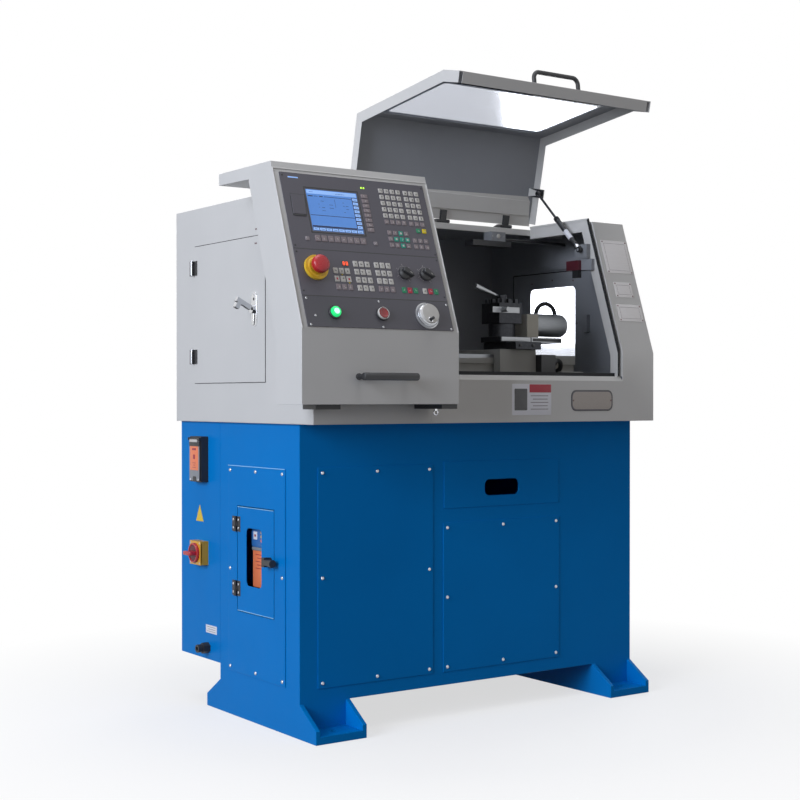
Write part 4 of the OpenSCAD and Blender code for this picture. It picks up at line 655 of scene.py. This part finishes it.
for x in (6, 414):  # fixing screws of the panels
    for s in (96, 196, 212, 396):
        turned(panelTrim, "nylon", x, s, [(2.4, 2.9), (2.4, 3.5), (1.9, 3.9), (0.9, 4.0)], onPanel, 14)
for s in (108, 120, 192):
    slab(panelTrim, "stripPaint", 210, s, 0.5, 0.5, 2.9, 3.02, 0.1, 0.01, onPanel)
handOver(panelTrim, "panelTrim", "console")

lights = newPiece()
for x in (228.1, 235.3):
    turned(lights, "greenDots", x, 380.7, [(2.3, 2.9), (2.3, 3.6), (1.6, 4.3), (0.5, 4.6)], onPanel, 16)
slab(lights, "nylon", 136.5, 171.5, 18.4, 13.4, 2.9, 3.9, 1.0, 0.4, onPanel)
for x in (132.0, 140.9):  # two lit figures of the tool counter
    for dx, ds, w, h in ((0, 4.1, 5.2, 1.3), (0, 0, 5.2, 1.3), (0, -4.1, 5.2, 1.3), (-2.2, 2.0, 1.3, 4.4),
                         (2.2, 2.0, 1.3, 4.4), (2.2, -2.0, 1.3, 4.4), (-2.2, -2.0, 1.3, 4.4)):
        slab(lights, "orangeDigits", x + dx, 171.5 + ds, w, h, 3.6, 4.2, 0.4, 0.1, onPanel)
handOver(lights, "panelLights", "console")

stop = {"x": 50.0, "s": 155.0}
at = spot(onPanel, stop["x"], stop["s"])
collar = newPiece()
turned(collar, "yellowPlastic", 0, 0, [
    (30.4, 2.9), (30.4, 7.4), (29.4, 8.6), (27.0, 9.4), (24.5, 11.3), (18.8, 11.5), (18.6, 3.0)], at, 56)
handOver(collar, "stopCollar", "console")
mushroom = newPiece()
turned(mushroom, "nylon", 0, 0, [(10.5, 9.6), (10.5, 14.0), (13.0, 14.0), (13.0, 18.4)], at)
turned(mushroom, "redPlastic", 0, 0, [
    (14.5, 16.8), (17.5, 17.2), (20.6, 19.6), (21.9, 23.0), (22.0, 31.0), (21.2, 34.6), (19.2, 36.8), (15.0, 38.2),
    (9.0, 38.8), (2.0, 39.0)], at, 56)
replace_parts(handOver(mushroom, "stopMushroom", "emergency_stop_button"), "emergency_stop_button")

knob = {"s": 155.0, "leftX": 306.0, "rightX": 369.0, "points": radians(-35), "ticks": 24, "scale": 25.0}
# wing grip: wide and blunt behind, drawn out to a point in front
wing = mirrored([(21.0, 0.0), (13.0, 4.6), (2.0, 6.4), (-9.0, 6.8), (-13.0, 3.2)])
for side, x in (("left", knob["leftX"]), ("right", knob["rightX"])):
    grip = newPiece()
    skirt = [(16.4, 3.2), (16.4, 5.6), (15.2, 8.4), (11.6, 12.0), (10.2, 13.0)]
    turned(grip, "nylon", x, knob["s"], skirt, onPanel, 36)
    at = spot(onPanel, x, knob["s"], knob["points"])
    tapered(grip, "nylon", wing, [(1.0, 5.5), (1.0, 18.0), (0.97, 20.4), (0.86, 21.8), (0.5, 22.0)], at)
    slab(grip, "keyWhite", 9.0, 0, 7.0, 1.1, 21.12, 22.07, 0.3, 0.05, at)
    node = "override_knob_" + side
    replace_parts(handOver(grip, side + "OverrideKnob", node), node)

dials = newPiece()
for x in (knob["leftX"], knob["rightX"]):
    for tick in range(knob["ticks"]):  # printed scale round each knob, open at the foot
        at = spot(onPanel, x, knob["s"], radians(-60 + 300 * tick / (knob["ticks"] - 1)))
        middle, long = (19.3, 1.8) if tick % 4 else (20.1, 3.2)
        slab(dials, "keyWhite", middle, 0, long, 0.8, 2.9, 3.06, 0.1, 0.02, at)
        if tick % 4 == 0:
            slab(dials, "keyGrey", knob["scale"] - 1.0, 0, 2.4, 2.8, 2.9, 3.07, 0.5, 0.03, at)
handOver(dials, "knobScales", "console")

buttons = {"s": 43.0, "startX": 80.0, "stopX": 214.0, "wheelX": 346.0}
startAt, stopAt = spot(onPanel, buttons["startX"], buttons["s"]), spot(onPanel, buttons["stopX"], buttons["s"])
bezels = newPiece()
for at, coat, profile in (
        (startAt, "nylon", [(16.9, 2.9), (16.9, 5.6), (15.8, 7.2), (13.6, 7.4), (13.4, 6.0)]),
        (stopAt, "nylon", [(16.9, 2.9), (16.9, 5.8), (15.9, 7.4), (13.6, 7.7), (13.4, 6.0)]),
        (stopAt, "keyWhite", [
            (14.6, 7.0), (15.4, 8.0), (15.4, 12.6), (14.9, 13.3), (13.8, 13.4), (13.5, 12.6), (13.5, 7.0)])):
    turned(bezels, coat, 0, 0, profile, at, 48)
for x, s in ((8.5, 77), (25.5, 34), (8.5, 11), (211.5, 76), (210.5, 10), (413.5, 75), (413.5, 10)):
    roundHeadScrew(bezels, x, s, 2.9, onPanel, 2.9, 1.7)
handOver(bezels, "switchStripTrim", "console")

lens = newPiece()
turned(lens, "greenLens", 0, 0, [
    (9.0, 0.0), (13.0, 6.0), (13.0, 11.0), (12.2, 12.8), (9.6, 13.8), (5.0, 14.2), (0.5, 14.3)], startAt, 48)
turned(lens, "greenHeart", 0, 0, [(7.6, 13.6), (7.2, 14.3), (4.0, 14.5), (0.5, 14.55)], startAt, 32)
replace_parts(handOver(lens, "startLens", "start_button"), "start_button")
cap = newPiece()
turned(cap, "redLamp", 0, 0, [
    (9.0, 0.0), (13.0, 6.0), (13.0, 11.6), (12.4, 12.8), (10.8, 13.3), (9.8, 12.6), (4.0, 12.2), (0.5, 12.1)],
    stopAt, 48)
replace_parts(handOver(cap, "stopCap", "stop_button"), "stop_button")

wheel = {"marks": 100, "dimple": radians(-105)}
handwheel = newPiece()
at = spot(onPanel, buttons["wheelX"], buttons["s"])
turned(handwheel, "turned", 0, 0, [
    (9.0, 3.4), (9.0, 5.3), (29.6, 5.3), (31.0, 6.4), (31.0, 11.6), (30.2, 13.0), (27.6, 13.6)], at, 96, 0.35)
turned(handwheel, "chrome", 0, 0, [(26.6, 13.0), (26.6, 15.6), (25.6, 16.6), (24.0, 16.4)], at, 72)
turned(handwheel, "keyWhite", 0, 0, [(25.0, 14.0), (25.0, 21.6), (24.0, 22.6), (18.0, 22.9), (0.5, 23.0)], at, 72)
for mark in range(wheel["marks"]):
    slab(handwheel, "blackLabel", 29.0, 0, 1.6 if mark % 5 else 2.4, 0.45, 12.6, 13.5, 0.1, 0.02,
         spot(at, 0, 0, 2 * pi * mark / wheel["marks"]))
at = spot(at, 0, 0, wheel["dimple"])
turned(handwheel, "chrome", 17.6, 0, [(6.4, 22.0), (6.4, 23.1), (5.8, 23.4), (5.2, 23.0)], at, 32)
turned(handwheel, "nylon", 17.6, 0, [
    (5.0, 22.0), (5.0, 23.2), (3.8, 23.4), (3.6, 29.0), (3.9, 33.6), (3.2, 35.4), (1.2, 35.6)], at, 32)
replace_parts(handOver(handwheel, "pulseHandwheel", "pulse_handwheel"), "pulse_handwheel")

# folded edges of the console's front, which catch the light
folds = newPiece()
for x in (-677.7, -227.3):
    bar(folds, "whitePaint", (x, 2, 0.2), (x, 412, 0.2), 1.7, onConsole, 12)
bar(folds, "whitePaint", (-677, 413.5, 0.2), (-228, 413.5, 0.2), 1.6, onConsole, 12)
handOver(folds, "consoleFolds", "console")

# grip under the panels, on two posts
pull = {"x": -456.3, "wall": -421.5, "z": 898.0, "long": 158.0, "out": 38.4}
half, pullY = pull["long"] / 2, pull["wall"] - pull["out"]
ends = [(half, 7.2), (half - 1.0, 8.6), (half - 3.0, 9.2), (-half + 3.0, 9.2), (-half + 1.0, 8.6), (-half, 7.2)]
handle = newPiece()
tube(handle, "nylon", [(pull["x"] + dx, pullY, pull["z"]) for dx, r in ends], [r for dx, r in ends], room, 32)
for side in (-1, 1):
    post = [(pull["x"] + side * (half - 12), y, pull["z"])
            for y in (pull["wall"] - 0.2, pull["wall"] - 3, pull["wall"] - 4, pullY)]
    tube(handle, "nylon", post, [8.0, 8.0, 6.4, 6.4], room, 24)
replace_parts(handOver(handle, "consoleGrip", "console"), "console_handle")
print("console finished")


# socket box, rotary switch and labels on the left of the cabinet
flap = {"y": -312.5, "z": 677.0, "w": 61.0, "h": 118.0, "lines": 3}
flapFace = spot(onLeft(-585.3), flap["y"], flap["z"])
cover = newPiece()
plates(cover, [
    ("greyPlastic", 0, -3, flap["w"] - 2, flap["h"] - 8, -0.4, 1.0, 4.0, 0.8),
    ("nylon", 0, 44, flap["w"] - 1, 14, -0.2, 2.0, 3.0, 1.0),
    ("orangeLabel", 0, 4, flap["w"] - 12, 66, 0.8, 1.5, 1.0, 0.2),
    ("redLabel", 0, 29, 24, 6, 1.3, 1.7, 0.8, 0.1), ("redLabel", 0, 8, 12, 12, 1.3, 1.7, 2.0, 0.1)], flapFace)
for line in range(flap["lines"]):
    slab(cover, "redLabel", 0, -9 - 6 * line, 20 - 5 * (line % 2), 1.3, 1.3, 1.66, 0.3, 0.05, flapFace)
plates(cover, [("keyWhite", -3, 52, flap["w"] - 16, 8, 0.8, 3.2, 2.0, 1.4),
               ("nylon", 2, -52, 22, 12, 0.0, 1.4, 4.0, 0.6)], flapFace)
for side in (-1, 1):
    turned(cover, "zinc", side * 24, -55, [(3.0, -0.2), (3.0, 1.6), (2.2, 2.4), (0.6, 2.6)], flapFace, 16)
handOver(cover, "socketFlapCover", "socket_flap")

leftFace = onLeft(-560)
sign = {"y": -330.0, "z": 528.0, "w": 44.0, "h": 46.0}
labels = newPiece()
outline(labels, "yellowLabel", [(-sign["w"] / 2, -sign["h"] / 2), (sign["w"] / 2, -sign["h"] / 2), (0, sign["h"] / 2)],
        0.0, 0.6, 0.1, spot(leftFace, sign["y"], sign["z"]))
slab(labels, "whiteLabel", -261.5, 212, 64, 22, 0.0, 0.6, 1.0, 0.1, leftFace)
for line in range(3):
    odd = line % 2
    slab(labels, "keyGrey", -261.5 + odd * 2, 218 - 6 * line, 50 - 8 * odd, 1.2, 0.4, 0.72, 0.3, 0.02, leftFace)
handOver(labels, "cabinetLabels", "frame")

mainSwitch = {"y": -312.0, "z": 420.0, "plate": 65.0}
switchFace = spot(leftFace, mainSwitch["y"], mainSwitch["z"])
rotary = newPiece()
turned(rotary, "redPlastic", 0, 0, [
    (26.6, 24.1), (27.5, 26.0), (27.3, 30.0), (26.0, 32.4), (23.0, 32.6), (22.0, 30.8), (1.0, 30.6)], switchFace, 56)
turned(rotary, "darkRed", 0, 0, [(22.0, 30.0), (22.0, 31.1), (21.4, 31.3), (1.0, 31.35)], switchFace, 56)
tapered(rotary, "redPlastic", mirrored([(-23, 0), (-21.5, 4.6), (-13, 5.8), (13, 5.8), (21.5, 4.6), (23, 0)]),
        [(1.0, 29.0), (1.0, 45.0), (0.97, 49.0), (0.88, 51.2), (0.6, 51.9)], switchFace)
for side in (-1, 1):
    slab(rotary, "keyWhite", 0, side * 14.5, 7.0, 2.2, 29.6, 30.5, 0.5, 0.05, switchFace)
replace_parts(handOver(rotary, "rotaryHandle", "main_switch_handle"), "main_switch_handle")
base = newPiece()
slab(base, "amberPlastic", 0, 0, mainSwitch["plate"], mainSwitch["plate"], 20.0, 24.5, 5.0, 2.0, switchFace)
for dy in (-27, 27):
    for dz in (-27, 27):
        turned(base, "zinc", dy, dz, [(3.0, 24.0), (3.0, 24.9), (2.0, 25.4), (0.5, 25.5)], switchFace, 16)
handOver(base, "switchFacePlate", "frame")

# hood with keypad on the drive's front, behind the slot of the side door
drive = {"y": -18.0, "z": 428.5, "w": 90.0, "h": 168.0, "hood": 38.0}
driveFace = spot(onLeft(-508), drive["y"], drive["z"])
w, out = drive["w"], drive["hood"]
hood = newPiece()
plates(hood, [
    ("nylon", 0, 0, w, drive["h"], 0.0, out - 6, 5.0, 1.0),
    ("inverterBlue", 0, 56, w - 1, 58, 2.0, out - 0.6, 8.0, 3.0),
    ("inverterBlue", -1, 38, w - 20, 14, out - 4, out + 0.3, 3.0, 1.0),
    ("whiteLabel", -22, 58, 20, 21, out - 2, out + 0.4, 2.0, 0.6),
    ("redLabel", -22, 58, 8, 6, out, out + 0.6, 1.0, 0.1)], driveFace)
button = [(4.4, out - 2), (4.4, out), (3.4, out + 0.8), (0.6, out + 1.0)]
for line, coat in enumerate(("yellowPlastic", "yellowPlastic", "orangeLabel")):
    turned(hood, coat, 10, 68 - 11 * line, button, driveFace, 18)
plates(hood, [("greyPlastic", 0, 23, w - 2, 8, 2.0, out - 2, 1.0, 0.8),
              ("orangeLabel", 0, -30, w - 4, 96, out - 7, out - 4.8, 2.0, 0.6)], driveFace)
for line in range(5):
    odd = line % 2
    slab(hood, "redLabel", -6 + 3 * odd, 8 - 9 * line, 46 - 10 * odd, 1.8, out - 5, out - 4.5, 0.3, 0.05, driveFace)
handOver(hood, "driveHood", "frame")

# hinges: screws in both leaves of the side door's, bright pins in the guard door's
hinge = {"sideY": -112.0, "sideLow": (322.6, 493.5), "guardX": -580.7, "guardY": 339.0, "guardLow": (940.8, 1185.9),
         "high": 40.0, "leaf": 13.5}
for owner, name, side in (("frame", "fixedLeafScrews", -1), ("side_door", "movingLeafScrews", 1)):
    screws = newPiece()
    for low in hinge["sideLow"]:
        for dz in (9, 31):
            roundHeadScrew(screws, hinge["sideY"] + side * hinge["leaf"], low + dz, 4.4, leftFace, 3.4, 2.2)
    handOver(screws, name, owner)
pins = newPiece()
for low in hinge["guardLow"]:
    top = low + hinge["high"]
    bar(pins, "chrome", (hinge["guardX"], hinge["guardY"], low + 1), (hinge["guardX"], hinge["guardY"], top - 1), 2.0)
    for z in (low - 0.6, top):
        head = [(3.4, z - 0.4), (4.2, z), (4.2, z + 0.8), (3.2, z + 1.2)]
        turned(pins, "chrome", -577.5, hinge["guardY"], head, room, 20)
handOver(pins, "guardHingePins", "frame")

# lock plate, rivets of the guard, and dark strips round the door's edge: a painted shadow line along its gap
doorFace, guardFace = onLeft(-573), onLeft(-571)
lock = {"y": 8.0, "z": 1076.5}
lockFace = spot(doorFace, lock["y"], lock["z"])
plate = newPiece()
plates(plate, [
    ("chrome", 0, 0, 27.0, 89.0, 2.4, 3.7, 13.4, 1.2), ("oxide", 0, -21, 12.5, 42, 3.4, 3.9, 5.0, 0.2),
    ("chrome", -1, -24, 8.0, 32, 3.6, 5.6, 3.6, 1.2)], lockFace)
turned(plate, "blackLabel", 0, 26, [(4.0, 3.4), (4.0, 3.95), (3.4, 4.0)], lockFace, 24)
for dz in (-38, 38):
    roundHeadScrew(plate, 0, dz, 3.5, lockFace, 3.0, 1.4)
handOver(plate, "lockPlate", "guard_door")
guard = {"middle": (-138.0, 1076.5), "w": 394.0, "h": 377.0}  # outline of the opening
shadowLineFace = spot(guardFace, *guard["middle"])
w, h = guard["w"], guard["h"]
shadowLineAndRivets = newPiece()
# dark strips along the top, foot and free side of the door: a painted shadow line
plates(shadowLineAndRivets, [
    ("rubber", 0, -h / 2 - 0.6, w + 2.4, 1.8, 0.02, 0.9, 0.2, 0.2),
    ("rubber", 0, h / 2 + 0.8, w + 2.4, 2.2, 0.02, 0.9, 0.2, 0.2),
    ("rubber", w / 2 + 0.6, 0, 1.8, h + 2.4, 0.02, 0.9, 0.2, 0.2)], shadowLineFace)
rivetHead = [(2.2, 0.0), (2.2, 0.8), (1.4, 1.4), (0.3, 1.5)]
rivets = newPiece()
for x in (10, 16):
    turned(shadowLineAndRivets, "browned", x, 1283, rivetHead, guardFace, 14)
    turned(rivets, "browned", x, 1246, rivetHead, doorFace, 14)
handOver(shadowLineAndRivets, "guardShadowLineAndRivets", "frame")
handOver(rivets, "doorRivets", "guard_door")

# bare plates on the column and the apron
marks = newPiece()
for x, s, w, h in ((515.5, 296, 99, 102), (512, 193.5, 68, 47), (516, 122, 94, 52)):
    slab(marks, "namePlate", x, s, w, h, 0.0, 1.0, 2.5, 0.3, onColumn)
    for side in (-1, 1):  # engraved border
        slab(marks, "keyGrey", x, s + side * (h / 2 - 9), w - 18, 0.9, 0.8, 1.06, 0.2, 0.02, onColumn)
        slab(marks, "keyGrey", x + side * (w / 2 - 9), s, 0.9, h - 18, 0.8, 1.06, 0.2, 0.02, onColumn)
        for end in (-1, 1):
            turned(marks, "browned", x + side * (w / 2 - 4.5), s + end * (h / 2 - 4.5),
                   [(2.3, 0.8), (2.3, 1.5), (1.4, 2.1), (0.3, 2.2)], onColumn, 14)
apron = onFront(-294)
plates(marks, [
    ("whiteLabel", 116.5, 843, 137, 84, 0.0, 0.6, 2.0, 0.1), ("redLabel", 146, 873, 76, 22, 0.4, 0.8, 1.0, 0.05),
    ("blackLabel", 78, 843, 44, 58, 0.4, 0.8, 2.0, 0.05)], apron)
for line in range(5):
    odd = line % 2
    slab(marks, "keyGrey", 143 + 3 * odd, 853 - 9 * line, 62 - 10 * odd, 2.0, 0.4, 0.75, 0.4, 0.03, apron)
plates(marks, [
    ("blackLabel", 334, 840, 154, 58, 0.0, 1.0, 17.0, 0.3), ("stripPaint", 334, 840, 151, 55, 0.8, 1.2, 16.0, 0.1),
    ("castPlate", 334, 840, 145, 49, 0.8, 1.6, 14.0, 0.3)], apron)
for x in (264, 404):
    turned(marks, "browned", x, 840, [(2.4, 1.2), (2.4, 2.0), (1.5, 2.7), (0.3, 2.8)], apron, 14)
handOver(marks, "machinePlates", "frame")

# lid: nuts of the handle under the raised panel
underLid = setOut((116.5, -277.2, 1669.4), (-1, 0, 0), (0, 290.4, -33.2))
nuts = newPiece()
for x in (-146, 10):
    turned(nuts, "nylon", x, -26, [
        (7.0, 1.4), (7.0, 3.0), (5.2, 3.2), (5.2, 10.0), (4.0, 13.0), (0.8, 14.0)], underLid, 20)
handOver(nuts, "handleNuts", "lid")

strutAxis = setOut((415, -150, 1276), (1, 0, 0), (0, 0.7027, -0.7115))
sleeve = newPiece()
for coat, profile in (("whiteLabel", [(7.2, 48.0), (7.75, 48.2), (7.75, 84.0), (7.2, 84.2), (7.2, 48.0)]),
                      ("chrome", [(7.0, 7.0), (8.0, 8.0), (8.0, 17.0), (7.0, 18.0), (7.0, 7.0)]),
                      ("rubber", [(7.0, 132.4), (8.2, 133.0), (8.2, 142.8), (7.0, 143.8), (7.0, 132.4)])):
    turned(sleeve, coat, 0, 0, profile, strutAxis, 32)
handOver(sleeve, "strutSleeves", "strut_cylinder")

# working parts: plates of the cross slide, cap of the motor can, connector of the feed motor, screws of the window
slide = newPiece()
plates(slide, [
    ("toolBar", 171, 1011, 104, 12, 0.0, 1.6, 1.0, 0.5), ("toolBar", 283, 1010.5, 112, 14.5, 0.0, 1.2, 1.0, 0.4),
    ("blackPaint", 283, 1010.5, 104, 8.0, 0.8, 1.5, 1.0, 0.1)], onFront(-160))
for x in (150, 196):
    turned(slide, "nylon", x, 992, [(4.4, -0.2), (4.4, 3.0), (3.0, 4.2), (0.6, 4.4)], onFront(-205), 16)
handOver(slide, "crossSlidePlates", "cross_slide")
canCap = newPiece()
canEnd = setOut((380, -110, 1055), (0, 1, 0), (0, 0, 1))
turned(canCap, "motorCan", 0, 0, [
    (26.3, -8.0), (31.0, -7.9), (32.4, -5.0), (29.0, 1.0), (20.0, 5.6), (8.0, 7.4), (1.0, 7.6)], canEnd, 56)
turned(canCap, "nylon", 0, -15, [(6.2, 3.0), (6.2, 15.0), (5.0, 18.0), (1.0, 18.6)], canEnd, 24)
for side in (-1, 1):
    roundHeadScrew(canCap, 0, side * 22, 4.0, canEnd, 2.6, 2.0)
handOver(canCap, "motorCanCap", "cross_slide")
plug = newPiece()
bar(plug, "nylon", (278, -186, 950), (292, -186, 950), 11.0)
cord = smoothPath([(290, -186, 950), (304, -186, 952), (316, -182, 944), (322, -172, 930), (326, -150, 922)])
tube(plug, "rubber", cord, 6.5)
handOver(plug, "feedMotorPlug", "saddle")
frameScrews = newPiece()
for y, z in ((-52, 1208), (-150, 1214), (-248, 1208), (-34, 1076), (-266, 1076), (-52, 944), (-150, 944), (-248, 944)):
    turned(frameScrews, "browned", y, z, [(2.6, -0.1), (2.6, 1.0), (1.6, 1.8), (0.4, 1.9)], onLeft(571), 14)
handOver(frameScrews, "windowFrameScrews", "end_door")
lampScrew = newPiece()
turned(lampScrew, "keyWhite", 293, 1327, [(6.5, -0.2), (6.5, 1.4), (5.0, 2.6), (1.0, 3.0)], onFront(71), 24)
for x in (272, 314):
    roundHeadScrew(lampScrew, x, 1327, -0.1, onFront(71), 2.2, 1.4)
handOver(lampScrew, "lampBoxFittings", "frame")
# dark strips round the end door's opening on the inner wall: a painted shadow line; the ledge above takes the
# painted-shade grey
endDoorShadeStrips = newPiece()
wall = onLeft(569.4)
for y, z, w, h in ((-177.5, 1238, 321, 3.2), (-338, 1054, 3.2, 366), (-177.5, 870, 321, 3.2)):
    slab(endDoorShadeStrips, "rubber", y, z, w, h, -0.1, 1.4, 0.4, 0.4, wall)
slab(endDoorShadeStrips, "insidePaint", -177.5, 1250, 330, 12, -0.1, 5.0, 1.0, 1.0, wall)
handOver(endDoorShadeStrips, "endDoorPaintedShadeStrips", "frame")
# beads along the edges of the side cover and its door, in a paler blue than the paint: a painted highlight
for body, low, high, heights in (("frame", -142.0, 160.0, (667.2,)), ("side_door", -85.0, 108.0, (559.2, 284.8))):
    highlightBead = newPiece()
    for z in heights:
        bar(highlightBead, "edgePaint", (-562.0, low + 2, z), (-562.0, high - 2, z), 1.1, room, 12)
        for y in (low + 2, high - 2):
            bar(highlightBead, "edgePaint", (-562.0, y, z - 1.0), (-562.0, y, z + 0.9), 0.9, room, 8)
    handOver(highlightBead, "rolledEdge_" + body, body)
print("plates, latches and small parts finished")


studio = {
    "floorReach": 14.0, "floorShare": 0.34, "shadowFades": (0.8, 1.7), "floorBounce": "#77777a", "ambient": 0.12,
    "lamps": [  # name, place, looks at, width, height, watts, colour
        ("keyFromTheLeft", (-6.4, -1.5, 2.6), (-0.4, 0.0, 0.8), 3.6, 3.2, 350, "#e9f0ff"),
        ("softTop", (-0.6, -0.4, 5.2), (-0.1, 0.0, 1.0), 4.0, 3.0, 100, "#f8faff"),
        ("frontFill", (0.6, -6.0, 1.9), (0.0, 0.0, 0.8), 4.2, 3.0, 22, "#fff2e2"),
        ("rearRightFill", (5.4, 3.6, 2.6), (0.2, 0.2, 0.8), 3.6, 2.8, 150, "#ffffff"),
    ],
    "camera": {"place": (-2.3968, -3.2963, 0.8491), "yaw": 35.167, "pitch": -0.445, "lens": 65.146,
               "shift": (-0.013872, 0.010597)},
}


def aimed(thing, place, target):
    thing.location = place
    thing.rotation_euler = (Vector(target) - Vector(place)).to_track_quat("-Z", "Y").to_euler()


for name, place, target, width, height, watts, colour in studio["lamps"]:
    lamp = bpy.data.lights.new(name, "AREA")
    lamp.shape, lamp.size, lamp.size_y = "RECTANGLE", width, height
    lamp.energy = watts
    lamp.color = toLinear(colour)[:3]
    holder = newObject(name, lamp)
    aimed(holder, place, target)
    holder.visible_camera = False
    holder.visible_glossy = name != "frontFill"


def seenRays(tree):
    # 1 for what the camera sees, metal mirrors or glass passes; 0 for what only lights the machine
    rays = addNode(tree, "LightPath")
    mask = rays.outputs["Is Camera Ray"]
    for ray in ("Is Transmission Ray", "Is Glossy Ray"):
        both = addNode(tree, "Math", {"operation": "MAXIMUM"})
        tree.links.new(mask, both.inputs[0])
        tree.links.new(rays.outputs[ray], both.inputs[1])
        mask = both.outputs[0]
    return mask


def mixShaders(tree, share, first, second):
    mixed = addNode(tree, "MixShader", Fac=share)
    tree.links.new(first.outputs[0], mixed.inputs[1])
    tree.links.new(second.outputs[0], mixed.inputs[2])
    return mixed


world = bpy.data.worlds.new("studio")
bpy.context.scene.world = world
world.use_nodes = True
sky = world.node_tree
sky.nodes.clear()
dim = addNode(sky, "Background", Color="#f3f6ff", Strength=studio["ambient"])
bright = addNode(sky, "Background", Color="#ffffff", Strength=1.0)
addNode(sky, "OutputWorld", Surface=mixShaders(sky, seenRays(sky), dim, bright))

# pale seamless floor: the camera meets mostly plain white, and near the machine a share that takes its shadow
floorMesh = bmesh.new()
bmesh.ops.create_grid(floorMesh, x_segments=24, y_segments=24, size=studio["floorReach"])
floorData = bpy.data.meshes.new("studioFloor")
floorMesh.to_mesh(floorData)
floorMesh.free()
floor = newObject("studioFloor", floorData)
floor.location = (0, 0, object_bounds()[0][2] - 0.0005)
paper, tree, place = openMaterial("paperFloor")
paperColour = blend(tree, noise(tree, place, 300, 3.0), "#ffffff", "#fdfdfd")
shaded = addNode(tree, "BsdfDiffuse", Color=paperColour)
bounce = addNode(tree, "BsdfDiffuse", Color=studio["floorBounce"])
plain = addNode(tree, "Emission", Color="#ffffff", Strength=1.0)
reach = addNode(tree, "VectorMath", {"operation": "LENGTH"})
tree.links.new(place, reach.inputs[0])
share = addNode(tree, "MapRange", Value=reach.outputs["Value"], From_Min=studio["shadowFades"][0],
                From_Max=studio["shadowFades"][1], To_Min=studio["floorShare"], To_Max=0.0)
ground = mixShaders(tree, seenRays(tree), bounce, mixShaders(tree, share, plain, shaded))
addNode(tree, "OutputMaterial", Surface=ground)
floorData.materials.append(paper)

view = studio["camera"]
cameraData = bpy.data.cameras.new("camera")
cameraData.sensor_width = 36
cameraData.lens = view["lens"]
cameraData.shift_x, cameraData.shift_y = view["shift"]
cameraData.clip_end = 100
camera = newObject("camera", cameraData)
yaw, pitch = radians(view["yaw"]), radians(view["pitch"])
ahead = Vector((sin(yaw) * cos(pitch), cos(yaw) * cos(pitch), sin(pitch)))
aimed(camera, view["place"], Vector(view["place"]) + ahead)
bpy.context.scene.camera = camera
bpy.context.scene.view_settings.view_transform = "Standard"
print("studio lit, camera set")
